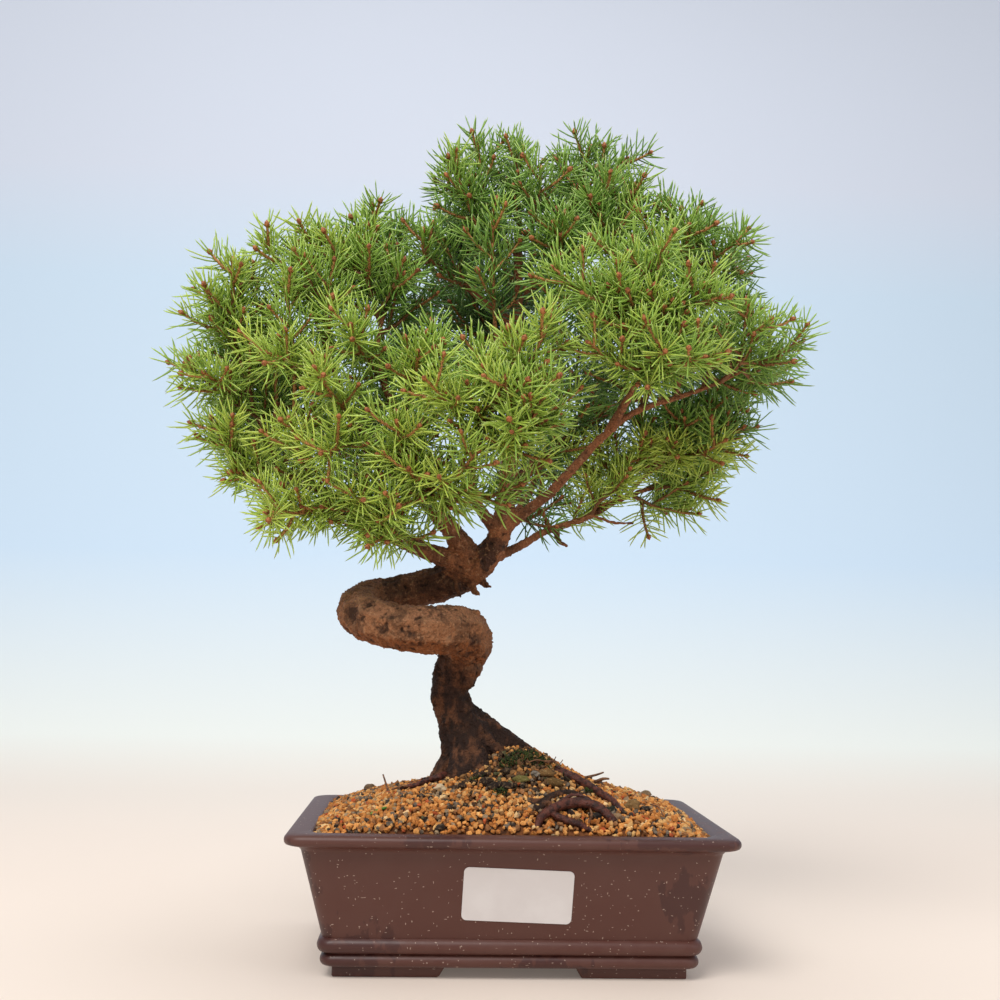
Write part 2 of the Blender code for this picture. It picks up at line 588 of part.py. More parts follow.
def make_label(home, parent, dress):
    """The blank sticker, a hair off the sloping front wall."""
    bm = bmesh.new()
    outline = rounded_rectangle(*LABEL_SIZE, LABEL_CORNER)
    loft(bm, [[(point.x, point.y, depth) for point in outline] for depth in (0.0, LABEL_THICK)])
    label = mesh_object("label", bm, home, parent, dress)
    (low_inset, low), (high_inset, high) = OUTER_LOW, OUTER_HIGH
    across, up = LABEL_PLACE
    inset = np.interp(up, (low, high), (low_inset, high_inset))
    off_wall = GAP / math.cos(WALL_LEAN)
    label.location = Vector((across, -POT_WIDTH / 2 + inset - off_wall, up)) * MM
    upright = Matrix.Rotation(math.pi / 2 + WALL_LEAN, 3, "X")
    label.rotation_euler = (upright @ Matrix.Rotation(LABEL_TURN, 3, "Z")).to_euler()


def bark(bm, rows):
    """Lumps and scars, only where the wood is thick."""
    thick = rows[rows[:, 3] > BARK_FROM_RADIUS]
    for vert in bm.verts:
        place = vert.co / MM
        gap = np.linalg.norm(thick[:, :3] - np.array(place), axis=1) - thick[:, 3]
        if gap.min() < BARK_REACH:
            above = min(1.0, max(0.0, (place.z - BARK_FROM_HEIGHT) / BARK_SCALE))
            vert.co += vert.normal * MM * BARK_RELIEF * noise.noise(place / BARK_SCALE) * above


def make_trunk(home, helpers, parent, dress):
    """All the wood that is thicker than a twig, grown together by a voxel remesh."""
    bm = bmesh.new()
    for name in WOOD:
        tube = curve_tube(name, wood_path(name), helpers)
        bm.from_mesh(tube.data)
    empty_collection(helpers)
    mesh = bpy.data.meshes.new("trunk")
    bm.to_mesh(mesh)
    bm.free()
    trunk = bpy.data.objects.new("trunk", mesh)
    home.objects.link(trunk)
    trunk.parent = parent
    grown = trunk.modifiers.new("Grown", "REMESH")
    grown.mode = "VOXEL"
    grown.voxel_size = WOOD_VOXEL * MM
    apply_modifiers(trunk)
    bm = bmesh.new()
    bm.from_mesh(trunk.data)
    bm.normal_update()
    bark(bm, wood_path("trunk"))
    bm.to_mesh(trunk.data)
    bm.free()
    clean(trunk, WOOD_TRIANGLES)
    trunk.data.materials.clear()
    trunk.data.materials.append(dress)
    trunk.data.shade_smooth()
    return trunk


def band_marks(length, needled):
    """How far along a twig each of its rings lies, and which of the bands between them are whorls."""
    whorls = max(1, round(min(needled, length) / (WHORL + BETWEEN_WHORLS)))
    bare = max(0.0, length - whorls * (WHORL + BETWEEN_WHORLS))
    bare_bands = round(bare / BARE_STEP)
    marks = list(np.linspace(0, bare, bare_bands + 1)) if bare_bands else [0.0]
    kinds = [False] * bare_bands
    room = (length - marks[-1]) / whorls
    for _ in range(whorls):
        marks += [marks[-1] + room - WHORL, marks[-1] + room]
        kinds += [False, True]
    return marks, kinds


def segment_gaps(start, end, starts, ends):
    """Least distances from one segment to each of many."""
    if not len(starts):
        return np.array([np.inf])
    u = end - start
    v = ends - starts
    w = start - starts
    a = u @ u
    b = v @ u
    c = np.einsum("ij,ij->i", v, v) + TINY
    d = w @ u
    e = np.einsum("ij,ij->i", v, w)
    s = np.clip((b * e - c * d) / np.maximum(a * c - b * b, TINY), 0, 1)
    t = np.clip((b * s + e) / c, 0, 1)
    s = np.clip((b * t - d) / a, 0, 1)
    apart = w + np.outer(s, u) - v * t[:, None]
    return np.linalg.norm(apart, axis=1)


def ring(centre, axis, side, radius, turn):
    """Three points round a twig's centreline, the first `turn` round from `side`."""
    up = axis.cross(side)
    places = [turn + corner * math.tau / 3 for corner in range(3)]
    return [centre + radius * (math.cos(a) * side + math.sin(a) * up) for a in places]


def with_bud(centres):
    """A twig's points, and the tip of its bud."""
    return [*centres, centres[-1] + (centres[-1] - centres[-2]).normalized() * BUD_LENGTH]


def square_to(arm, axis):
    """The part of `arm` that is square to `axis`, with a length of 1."""
    return (arm - axis * arm.dot(axis)).normalized()


class Room:
    """What already stands in the crown, as the wood's surface and rods, so that nothing crosses it."""

    def __init__(self, wood):
        self.tree = BVHTree.FromObject(wood, bpy.context.evaluated_depsgraph_get())
        self.starts = np.zeros((0, 3))
        self.ends = np.zeros((0, 3))
        self.radii = np.zeros(0)
        self.owners = np.zeros(0, int)

    def meetings(self, place, ray):
        """How many times a ray from a point meets the wood's surface."""
        start = place * MM
        count = 0
        while (met := self.tree.ray_cast(start, ray)[0]) is not None:
            count += 1
            start = met + ray * TINY
        return count

    def in_wood(self, place):
        """Whether a point is inside the wood: rays from there meet its surface an odd number of times."""
        return all(self.meetings(place, ray) % 2 for ray in RAYS)

    def wood_gap(self, place):
        """How far a point stands outside the wood's surface, negative inside."""
        gap = self.tree.find_nearest(place * MM)[3] / MM
        return -gap if self.in_wood(place) else gap

    def clear(self, start, end, radius, chosen):
        """Whether a rod is clear of the chosen rods that stand already."""
        if not chosen.any():
            return True
        gaps = segment_gaps(np.array(start), np.array(end), self.starts[chosen], self.ends[chosen])
        return (gaps - self.radii[chosen]).min() > radius + CLEAR

    def off_wood(self, start, end, radius):
        """Whether a rod is clear of the wood's surface, at a few points of its length."""
        places = [start.lerp(end, share) for share in (0, 0.25, 0.5, 0.75, 1)]
        return all(self.wood_gap(place) > radius + CLEAR for place in places)

    def fits(self, start, end, radius, owner):
        """Whether a rod is clear of the wood and of every rod but those of the same owner."""
        return self.off_wood(start, end, radius) and self.clear(start, end, radius, self.owners != owner)

    def needle_fits(self, root, tip, owner):
        """Whether a needle, wide at its root, crosses nothing. Rods of its own spray may meet its root."""
        foot = root.lerp(tip, NEEDLE_FOOT)
        same_spray = self.owners // OWNERS_A_SPRAY == owner // OWNERS_A_SPRAY
        mates = same_spray & (self.owners != owner)
        return (
            self.off_wood(foot, tip, NEEDLE_THIN)
            and self.clear(root, foot, NEEDLE_THICK, ~same_spray)
            and self.clear(root, foot, NEEDLE_THIN, mates & (self.radii <= NEEDLE_THIN))
            and self.clear(foot, tip, NEEDLE_THIN, ~same_spray | mates)
        )

    def add(self, start, end, radius, owner):
        """Lets a rod stand in the room."""
        self.starts = np.vstack([self.starts, start])
        self.ends = np.vstack([self.ends, end])
        self.radii = np.append(self.radii, radius)
        self.owners = np.append(self.owners, owner)

    def add_twig(self, centres, radius, owner):
        """Lets a twig stand in the room."""
        for start, end in zip(centres, centres[1:]):
            self.add(start, end, radius, owner)


class Band(NamedTuple):
    """The six triangles between two rings of a twig, three with a side on each ring, and where they lie."""

    inner: list
    outer: list
    axis: Vector
    centre: Vector
    owner: int
    whorl: bool


class Spray:
    """A forked, needled stem as one closed surface: bands of six triangles, some of them raised."""

    def __init__(self, name, room, number, draw):
        self.name = name
        self.room = room
        self.owner = number * OWNERS_A_SPRAY
        self.draw = draw
        self.bm = bmesh.new()
        self.forked = set()

    def band(self, low, high):
        """Six triangles between two rings of three: those on the low ring, and those on the high one."""
        inner, outer = [], []
        for i in range(3):
            j = (i + 1) % 3
            inner.append(self.bm.faces.new((low[i], low[j], high[i])))
            outer.append(self.bm.faces.new((low[j], high[j], high[i])))
        return inner, outer

    def grow(self, low, centres, side, turn, radii, owner, whorls):
        """Bands along `centres` from the ring `low`, closed by a bud."""
        bands = []
        for k in range(1, len(centres)):
            beyond = centres[min(k + 1, len(centres) - 1)]
            axis = (beyond - centres[k - 1]).normalized()
            side = square_to(side, axis)
            turn += math.tau / 6
            high = [self.bm.verts.new(place) for place in ring(centres[k], axis, side, radii[k], turn)]
            middle = centres[k - 1].lerp(centres[k], 0.5)
            bands.append(Band(*self.band(low, high), axis, middle, owner, whorls[k - 1]))
            low = high
        bud = self.bm.verts.new(centres[-1] + axis * BUD_LENGTH)
        for i in range(3):
            self.bm.faces.new((low[i], low[(i + 1) % 3], bud))
        return bands

    def stem(self, points):
        """The main stem. It starts just clear of the wood and is bent clear of what stands near."""
        path = [Vector(row) for row in smooth_path([seen(*point) for point in points], FINE)]
        steps = round(min(BURIED_MOST, FINE * len(path) - STEM_LEAST) / FINE)
        buried = [i for i in range(steps) if not self.clear_cap(path, i)]
        path = path[max(buried, default=-1) + 1 :]
        marks, whorls = band_marks(FINE * (len(path) - 1), NEEDLED_LENGTH)
        centres = self.bend_clear([path[min(round(mark / FINE), len(path) - 1)] for mark in marks])
        axis = (centres[1] - centres[0]).normalized()
        side = axis.orthogonal().normalized()
        radii = np.linspace(STEM_RADIUS, SHOOT_RADIUS, len(centres)).tolist()
        first = [self.bm.verts.new(place) for place in ring(centres[0], axis, side, radii[0], 0.0)]
        self.bm.faces.new(first[::-1])
        bands = self.grow(first, centres, side, 0.0, radii, self.owner, whorls)
        self.room.add_twig(with_bud(centres), STEM_RADIUS, self.owner)
        return bands

    def clear_cap(self, path, i):
        """Whether the stem's cut end would stand clear of the wood there."""
        axis = (path[i + 1] - path[i]).normalized()
        corners = ring(path[i], axis, axis.orthogonal().normalized(), STEM_RADIUS, 0.0)
        return all(self.room.wood_gap(place) > GAP + CAP_GAP for place in [path[i], *corners])

    def bend_clear(self, centres):
        """Pushes the points of a stem off the wood and off other stems."""
        limit = STEM_RADIUS + CLEAR + BEND_ROOM
        for _ in range(BEND_ROUNDS):
            for k in range(2, len(centres)):
                near, _, _, gap = self.room.tree.find_nearest(centres[k] * MM)
                if gap / MM < limit:
                    centres[k] += (centres[k] - near / MM).normalized() * (limit - gap / MM)
                if not len(self.room.starts):
                    continue
                gaps = segment_gaps(
                    np.array(centres[k - 1]), np.array(centres[k]), self.room.starts, self.room.ends
                ) - self.room.radii
                worst = int(gaps.argmin())
                if gaps[worst] < limit:
                    middle = Vector((self.room.starts[worst] + self.room.ends[worst]) / 2)
                    centres[k] += (centres[k] - middle).normalized() * (limit - gaps[worst])
        return centres

    def side_shoots(self, bands):
        """Shoots that fork off the bands between the whorls, on alternate sides and shorter further out."""
        between = [band for band in bands if not band.whorl][1:]
        grown = []
        for order in range(SIDE_SHOOTS):
            share = order / (SIDE_SHOOTS - 1)
            band = between[round(share * (len(between) - 1))]
            reach = SIDE_LENGTH * (1 - SIDE_TAPER * share) * self.draw.uniform(*SIDE_SPREAD)
            flat = band.axis.cross(UP)
            flat = flat.normalized() if flat.length > UPRIGHT else Vector((1, 0, 0))
            wanted = flat * (1 if order % 2 else -1) + UP * SIDE_RISE * (order % 3)
            for face in self.facing(band, wanted):
                shoot = self.shoot(face, band, reach, self.owner + 1 + order)
                if shoot:
                    grown.extend(shoot)
                    break
        return bands + grown

    def facing(self, band, wanted):
        """The outer faces of a band that are still there, those that look most along `wanted` first."""
        left = [face for face in band.outer if face.is_valid]
        return sorted(left, key=lambda face: -wanted.dot(face.calc_center_median() - band.centre))

    def fork(self, bands, points):
        """A second stem, from the face near the first one's foot that looks its way."""
        path = smooth_path([seen(*point) for point in points], FINE)
        band = [band for band in bands if not band.whorl][:2][-1]
        face = self.facing(band, Vector(path[len(path) // 2]) - band.centre)[0]
        root = face.calc_center_median()
        length = FINE * (len(path) - 1)
        marks, whorls = band_marks(length, NEEDLED_LENGTH)
        pull = np.array(root) - path[0]
        centres = [root]
        for mark in marks[1:]:
            row = path[min(round(mark / FINE), len(path) - 1)]
            centres.append(Vector(row + pull * (1 - mark / length)))
        owner = self.owner + OWNERS_A_SPRAY - 1
        return self.grow_from(face, band.axis, self.bend_clear(centres), owner, whorls)

    def shoot(self, face, band, reach, owner):
        """A short side shoot that leans forward and curves up, or None if it would cross something."""
        root = face.calc_center_median()
        outward = square_to(root - band.centre, band.axis)
        lean = outward * math.sin(SIDE_LEAN) + band.axis * math.cos(SIDE_LEAN)
        marks, whorls = band_marks(reach, reach)
        centres = [root]
        for low_mark, high_mark in zip(marks, marks[1:]):
            bend = (band.axis * SIDE_FORWARD + UP * SIDE_UP) * low_mark / reach
            centres.append(centres[-1] + (lean + bend).normalized() * (high_mark - low_mark))
        strangers = self.room.owners // OWNERS_A_SPRAY != self.owner // OWNERS_A_SPRAY
        webs = [vert.co for vert in face.verts]
        if not all(self.room.clear(web, centres[1], SHOOT_RADIUS, strangers) for web in webs):
            return None
        if self.room.wood_gap(centres[1]) < SHOOT_RADIUS + CLEAR:
            return None
        far = with_bud(centres)[1:]
        if not all(self.room.fits(a, b, SHOOT_RADIUS + CLEAR, self.owner) for a, b in zip(far, far[1:])):
            return None
        return self.grow_from(face, band.axis, centres, owner, whorls)

    def grow_from(self, face, axis, centres, owner, whorls):
        """A twig along `centres` that takes the place of a face."""
        low = list(face.verts)
        direction = (centres[1] - centres[0]).normalized()
        side = square_to(axis, direction)
        up = direction.cross(side)
        turns = []
        for corner, vert in enumerate(low):
            arm = vert.co - centres[0]
            turns.append(math.atan2(arm.dot(up), arm.dot(side)) - corner * math.tau / 3)
        turn = math.atan2(sum(math.sin(t) for t in turns), sum(math.cos(t) for t in turns))
        self.forked.update(low)
        self.bm.faces.remove(face)
        bands = self.grow(low, centres, side, turn, [SHOOT_RADIUS] * len(centres), owner, whorls)
        self.room.add_twig(with_bud(centres), SHOOT_RADIUS, owner)
        for vert in low:
            self.room.add(vert.co, centres[1], NEEDLE_THIN, owner)
        return bands

    def raise_needles(self, bands):
        """Draws the faces of each whorl out into slim needles, but for those at a fork or a bend."""
        for band in bands:
            for face in band.inner + band.outer:
                if not band.whorl or not face.is_valid or not self.forked.isdisjoint(face.verts):
                    continue
                if face.calc_perimeter() < NEEDLE_ROUND_ROOT:
                    self.raise_needle(face, band)

    def raise_needle(self, face, band):
        """One needle from a face, the first of a few tries that crosses nothing."""
        root = face.calc_center_median()
        outward = square_to(root - band.centre, band.axis)
        across = band.axis.cross(outward)
        for sway, lean, share in NEEDLE_TRIES:
            turned = (outward + across * (sway + self.draw.uniform(-SWAY, SWAY))).normalized()
            angle = NEEDLE_LEAN + lean + self.draw.uniform(-SWAY, SWAY)
            reach = NEEDLE_LENGTH * share * self.draw.uniform(*NEEDLE_SPREAD)
            tip = root + (turned * math.sin(angle) + band.axis * math.cos(angle)) * reach
            if self.room.needle_fits(root, tip, band.owner):
                made = bmesh.ops.poke(self.bm, faces=[face])
                made["verts"][0].co = tip
                foot = root.lerp(tip, NEEDLE_FOOT)
                self.room.add(root, foot, NEEDLE_THICK, band.owner)
                self.room.add(foot, tip, NEEDLE_THIN, band.owner)
                return


def make_sprays(home, parent, wood, dress):
    """Every spray: first all the stems, then their side shoots, then the needles."""
    draw = random.Random(SEED)
    room = Room(wood)
    sprays = [Spray(name, room, number, draw) for number, name in enumerate(SPRAYS)]
    bands = {}
    for spray in sprays:
        bands[spray.name] = spray.stem(SPRAYS[spray.name])
        if spray.name in FORKS:
            bands[spray.name] += spray.fork(bands[spray.name], FORKS[spray.name])
    for spray in sprays:
        bands[spray.name] = spray.side_shoots(bands[spray.name])
    for spray in sprays:
        spray.raise_needles(bands[spray.name])
        mesh_object(f"spray_{spray.name}", spray.bm, home, parent, dress, faces_out=True)


def main():
    for thing in list(bpy.data.objects):
        bpy.data.objects.remove(thing)
    home = collection("SpruceBonsai")
    cutters = collection("Cutters")
    base = bpy.data.objects.new("bonsai", None)
    base.location = POT_PLACE * MM
    home.objects.link(base)
    make_pot(home, cutters, base, material("glazed_brown", (0.12, 0.058, 0.048), 0.35))
    make_label(home, base, material("label_paper", (0.89, 0.87, 0.87), 0.6))
    make_soil(home, cutters, base, material("granules", (0.55, 0.27, 0.09), 0.9))
    trunk = make_trunk(home, cutters, base, material("bark", (0.21, 0.11, 0.07), 0.85))
    make_sprays(home, base, trunk, material("needles", (0.16, 0.30, 0.06), 0.5))


main()
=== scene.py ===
"""A spruce bonsai in a rectangular glazed pot, dressed over its solid parts.

Lengths are millimetres, given round the middle of the pot's underside, and MM turns them into
metres when a mesh is made. POT_PLACE sets that middle in the frame of the part.
"""

import logging
import math
import random
from dataclasses import dataclass
from enum import Enum
from functools import partial
from typing import Any, Callable, Iterable, Optional, Sequence

import bpy
import numpy as np
from mathutils import Matrix, Vector, noise
from mathutils.kdtree import KDTree


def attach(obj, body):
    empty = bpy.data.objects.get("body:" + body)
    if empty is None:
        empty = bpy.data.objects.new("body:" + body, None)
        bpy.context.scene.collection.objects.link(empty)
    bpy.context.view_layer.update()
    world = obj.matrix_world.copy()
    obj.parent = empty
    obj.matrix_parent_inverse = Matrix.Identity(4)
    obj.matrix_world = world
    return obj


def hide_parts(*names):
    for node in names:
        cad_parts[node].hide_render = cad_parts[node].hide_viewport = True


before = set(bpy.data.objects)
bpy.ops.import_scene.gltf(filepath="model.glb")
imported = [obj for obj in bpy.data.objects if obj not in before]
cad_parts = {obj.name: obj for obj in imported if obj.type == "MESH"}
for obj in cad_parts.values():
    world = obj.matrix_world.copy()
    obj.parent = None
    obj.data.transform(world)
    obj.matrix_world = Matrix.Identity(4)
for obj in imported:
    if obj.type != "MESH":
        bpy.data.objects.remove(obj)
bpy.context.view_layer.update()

LOG = logging.getLogger("bonsai")
MM = 0.001
SEED = 11
GOLDEN = math.radians(137.5)
POT_PLACE = Vector((9.0, -4.0, 0.0))
VIEWPOINT = Vector((-36.6, -655.2, 152.4))
BODY = "root"
SPANS_A_POINT = 24
WELD = 0.00001
NEAR = 0.01
# The mound of soil: its half sizes and edge, the rise of its dome, and its knoll at the trunk.
MOUND_HALF = (91.3, 64.8)
MOUND_EDGE = 62.5
MOUND_RISE = 20.0
KNOLL_PLACE = 5.0
KNOLL_HALF = (27.0, 24.0)
KNOLL_RISE = 16.0

# Wood that grew as one piece, thickest first: (across, up, depth, radius), as seen from VIEWPOINT.
WOOD = {
    "trunk": (
        (-14, 62, 4, 20), (-17, 80, 5, 18), (-21, 98, 6, 13.5), (-25.5, 112, 7, 11),
        (-29.5, 126, 9, 10.2), (-27, 138, 10, 11), (-21, 148, 4, 12.3), (-24, 156, -12, 12.5),
        (-38, 156.5, -24, 12.2), (-54, 157, -27, 11.6), (-68, 160, -21, 11.3),
        (-76.5, 165, -6, 11.2), (-72, 170.5, 12, 10.4), (-58, 174, 23, 9.8),
        (-42, 178, 24, 9.8), (-28, 183, 18, 9.6), (-17, 190, 11, 8.6), (-9, 199, 8, 6.4),
        (-5, 210, 6, 5.8), (-3, 225, 6, 5.3), (-1, 250, 9, 4.7), (0, 280, 11, 4.0),
        (1, 310, 12, 3.3), (1, 340, 12, 2.6), (1, 360, 10, 2.1), (1, 376, 10, 1.6),
    ),
    "root_right": (
        (-20, 114, 8, 6.8), (-4, 104, 6, 5.4), (10, 95, 3, 4.8), (21, 85.7, 0, 4.2), (34, 77, -4, 3.6),
    ),
    "root_front": ((-22, 106, 2, 7), (-17, 94, -5, 7), (-11, 82, -12, 6), (-4, 70, -20, 5)),
    "root_left": ((-22, 106, 6, 6), (-27, 95, 4, 6.3), (-32, 84, 0, 6.2), (-40, 72, -6, 5)),
    "root_back": ((-20, 108, 10, 7), (-16, 96, 20, 7.5), (-10, 82, 30, 6.5), (-4, 70, 40, 5)),
    "root_arc": (
        (-4, 78, -16, 3.6), (8, 72, -38, 2.4), (16, 68, -50, 2.0), (20, 73, -42, 2.0), (28, 76, -34, 2.1),
        (37, 75, -31, 2.0), (43, 72, -33, 2.0), (48, 67, -37, 1.9),
    ),
    "root_low": ((9, 72, -40, 2.2), (22, 70.5, -46, 1.8), (30, 68, -50, 1.8), (36, 62, -55, 1.7)),
    "root_thin": ((-30, 84, 4, 2.6), (-43, 81, 5, 1.7), (-51, 78, 5, 1.5), (-58, 72, 5, 1.4)),
    "bough_left": (
        (-18, 187, 12, 7.5), (-30, 192, 7, 6.8), (-40, 195, 2, 6.1), (-50, 199, -3, 5.5),
        (-62, 204, -8, 4.9), (-75, 210, -12, 4.4), (-87, 219, -15, 3.9), (-100, 227, -16, 3.3),
        (-112, 231, -12, 2.8), (-119, 236, -8, 2.3), (-124, 249, -8, 1.9), (-133, 266, -10, 1.5),
    ),
    "bough_middle": (
        (-17, 189, 11, 6.5), (-25, 197, 6, 5.8), (-31, 206, 0, 5.3), (-37, 213, -5, 4.9),
        (-44, 221, -10, 4.5), (-56, 233, -16, 3.9), (-70, 245, -20, 3.2), (-79, 258, -22, 2.6),
        (-87, 272, -22, 2.1), (-92, 285, -22, 1.8), (-96, 299, -22, 1.5),
    ),
    "bough_middle_up": (
        (-50, 227, -13, 3.2), (-54, 245, -10, 2.5), (-58, 264, -8, 2.1), (-67, 281, -8, 1.9),
        (-71, 300, -8, 1.6), (-69, 317, -8, 1.4),
    ),
    "bough_right": (
        (-4, 208, 6, 5.0), (9, 219, 2, 4.3), (19, 227, -2, 4.0), (27, 236, -5, 3.8),
        (35, 245, -8, 3.6), (43, 254, -11, 3.3), (57, 267, -17, 2.9), (70, 274, -20, 2.6),
        (82, 278, -22, 2.3), (96, 283, -25, 2.0), (110, 289, -27, 1.7), (122, 296, -29, 1.4),
    ),
    "bough_right_low": (
        (-12, 192, 11, 5.0), (-3, 196, 14, 3.9), (8, 202, 20, 3.3), (16, 207, 24, 3.1),
        (30, 212, 30, 2.8), (42, 217, 34, 2.6), (54, 224, 38, 2.3), (68, 230, 42, 1.9), (80, 232, 42, 1.5),
    ),
    "bough_right_back": (
        (66, 272, -19, 2.4), (75, 294, -6, 1.9), (86, 314, 4, 1.6), (98, 330, 9, 1.4),
    ),
    "bough_front_right": (
        (50, 261, -13, 3.0), (56, 272, -27, 2.3), (61, 281, -38, 2.0), (67, 293, -46, 1.8),
        (71, 306, -50, 1.6), (72, 323, -54, 1.4),
    ),
    "bough_front": (
        (-5, 206, 6, 5.0), (-13, 214, 1, 3.3), (-19, 223, -8, 2.8), (-21, 234, -23, 2.3),
        (-20, 245, -39, 2.0), (-18, 254, -51, 1.7),
    ),
    "bough_back_left": (
        (-16, 190, 12, 6.0), (-27, 204, 26, 4.4), (-42, 221, 42, 3.6), (-60, 239, 56, 2.9),
        (-77, 255, 66, 2.3), (-91, 269, 73, 1.7),
    ),
    "bough_back_right": (
        (-3, 222, 6, 4.6), (8, 239, 25, 3.5), (26, 255, 44, 2.9), (46, 268, 58, 2.3), (66, 279, 68, 1.7),
    ),
    "bough_back_up": ((0, 286, 11, 3.2), (-8, 303, 30, 2.4), (-16, 321, 48, 1.9), (-22, 337, 60, 1.5)),
    "bough_back_low": ((-9, 197, 9, 5.0), (-2, 210, 32, 3.4), (6, 222, 53, 2.6), (13, 237, 72, 1.8)),
    "bough_upper_left": ((1, 314, 12, 2.8), (-13, 324, 9, 2.1), (-26, 334, 3, 1.7), (-39, 344, -5, 1.4)),
    "bough_upper_right": ((1, 330, 12, 2.6), (15, 342, 8, 2.0), (30, 351, 2, 1.7), (43, 357, -5, 1.4)),
}

# Stems of the needled sprays, from the wood out to the furthest tip: (across, up, depth).
SPRAYS = {
    "left_tip_low": ((-115, 233, -10), (-131, 238, -18), (-144, 243, -24), (-152, 258, -30)),
    "left_high": ((-133, 265, -10), (-138, 284, -10), (-146, 305, -12), (-153, 325, -12)),
    "left_high_inner": ((-123, 246, -8), (-122, 272, -2), (-125, 300, -2), (-134, 324, -4), (-142, 342, -5)),
    "left_middle": ((-117, 234, -9), (-113, 256, -20), (-113, 285, -26), (-116, 312, -30), (-120, 334, -32)),
    "left_bright_low": ((-86, 218, -15), (-97, 217, -32), (-109, 214, -45), (-124, 214, -56)),
    "left_bright_middle": ((-68, 207, -10), (-73, 214, -30), (-78, 220, -46), (-83, 226, -60)),
    "left_bright_inner": ((-50, 199, -3), (-56, 203, -24), (-62, 207, -40), (-68, 211, -54)),
    "left_front": ((-100, 227, -16), (-106, 238, -32), (-111, 250, -44), (-115, 262, -55)),
    "left_back_low": ((-111, 231, -12), (-120, 238, 8), (-131, 245, 26), (-141, 251, 40)),
    "left_back": ((-124, 249, -8), (-126, 262, 14), (-130, 280, 32), (-136, 298, 44)),
    "star": ((-79, 258, -22), (-88, 269, -42), (-97, 280, -58), (-103, 289, -72)),
    "middle_tall": ((-96, 297, -22), (-98, 312, -22), (-97, 328, -24), (-95, 346, -26)),
    "middle_left": ((-90, 280, -22), (-104, 286, -32), (-118, 293, -42), (-130, 297, -50)),
    "middle_front": ((-68, 283, -8), (-76, 294, -26), (-82, 303, -42), (-85, 312, -56)),
    "middle_high_left": ((-70, 312, -8), (-75, 328, -12), (-79, 344, -14), (-83, 358, -16)),
    "middle_high_back": ((-71, 298, -8), (-69, 322, 12), (-67, 346, 20), (-66, 367, 22)),
    "middle_low": ((-76, 253, -21), (-84, 249, -40), (-91, 247, -56), (-98, 245, -70)),
    "middle_bright": ((-56, 233, -16), (-57, 240, -38), (-58, 250, -56), (-60, 262, -70)),
    "middle_bright_low": ((-40, 217, -8), (-44, 222, -30), (-48, 229, -50), (-53, 238, -68)),
    "middle_inner": ((-58, 262, -8), (-54, 275, -28), (-51, 287, -44), (-50, 299, -56)),
    "top_leader": ((1, 372, 10), (0, 384, 10), (0, 397, 10), (2, 410, 10)),
    "top_left": ((1, 350, 11), (-10, 367, 8), (-18, 385, 7), (-22, 413, 7)),
    "top_left_front": ((1, 336, 12), (-14, 355, 0), (-25, 376, -8), (-34, 400, -12)),
    "top_right": ((1, 358, 10), (9, 371, -2), (11, 384, -9), (12, 398, -13)),
    "top_right_tall": ((29, 350, 2), (29, 367, 3), (31, 386, 3), (38, 411, 2)),
    "top_right_front": ((42, 356, -5), (47, 367, -12), (45, 378, -18), (48, 391, -22)),
    "upper_left_tip": ((-38, 343, -5), (-45, 348, -11), (-49, 353, -17), (-49, 363, -21)),
    "upper_left": ((-22, 331, 5), (-27, 338, -1), (-33, 347, -4), (-38, 358, -4)),
    "upper_front": ((0, 284, 11), (-9, 304, -12), (-12, 338, -22), (-13, 369, -26)),
    "upper_front_right": ((0, 270, 10), (14, 285, -8), (23, 302, -20), (23, 326, -26), (19, 347, -28)),
    "upper_right_front": ((24, 348, 4), (24, 352, -14), (22, 359, -28), (19, 370, -38)),
    "right_tip": ((119, 295, -29), (131, 300, -30), (141, 306, -30), (151, 311, -30)),
    "right_tip_high": ((108, 288, -27), (118, 298, -32), (125, 308, -36), (130, 318, -40)),
    "right_middle": ((84, 279, -22), (88, 292, -28), (93, 304, -33), (99, 316, -37)),
    "right_shoulder": ((98, 284, -25), (104, 300, -12), (110, 317, -6), (118, 334, -4)),
    "right_shoulder_high": ((96, 327, 8), (104, 338, 9), (111, 349, 10), (116, 362, 10)),
    "right_high": ((86, 314, 4), (87, 332, 3), (88, 351, 2), (92, 372, 2)),
    "front_right_tall": ((72, 319, -54), (74, 334, -58), (75, 345, -61), (75, 357, -64)),
    "front_right_inner": ((71, 305, -50), (66, 317, -60), (59, 329, -67), (49, 337, -72)),
    "front_right_low": ((65, 289, -44), (77, 293, -58), (88, 297, -70), (99, 301, -80)),
    "low_right_tip": ((78, 232, 42), (87, 231, 46), (94, 229, 49), (101, 227, 51)),
    "low_right_long": ((58, 226, 39), (74, 243, 32), (94, 256, 28), (115, 266, 26)),
    "low_right_inner": ((40, 216, 33), (50, 232, 26), (62, 246, 22), (74, 257, 18)),
    "front_middle": ((-18, 254, -51), (-13, 264, -64), (-9, 275, -74), (-5, 287, -82)),
    "front_right": ((-19, 248, -43), (-6, 254, -58), (6, 263, -72), (15, 277, -84)),
    "back_left_tip": ((-87, 265, 71), (-100, 280, 82), (-110, 297, 90)),
    "back_left": ((-70, 249, 62), (-76, 262, 82), (-80, 278, 97)),
    "back_left_high": ((-64, 243, 58), (-60, 268, 66), (-58, 296, 74), (-56, 320, 80)),
    "back_right_tip": ((62, 277, 66), (76, 289, 76), (88, 304, 84)),
    "back_right": ((40, 264, 54), (46, 276, 78), (50, 290, 96)),
    "back_right_high": ((54, 272, 62), (60, 296, 62), (64, 322, 60), (66, 344, 56)),
    "back_top": ((-21, 334, 58), (-28, 352, 71), (-35, 369, 81)),
    "back_top_right": ((-14, 317, 44), (-6, 330, 66), (0, 346, 84)),
    "back_low": ((12, 234, 68), (17, 246, 86), (22, 258, 97)),
}
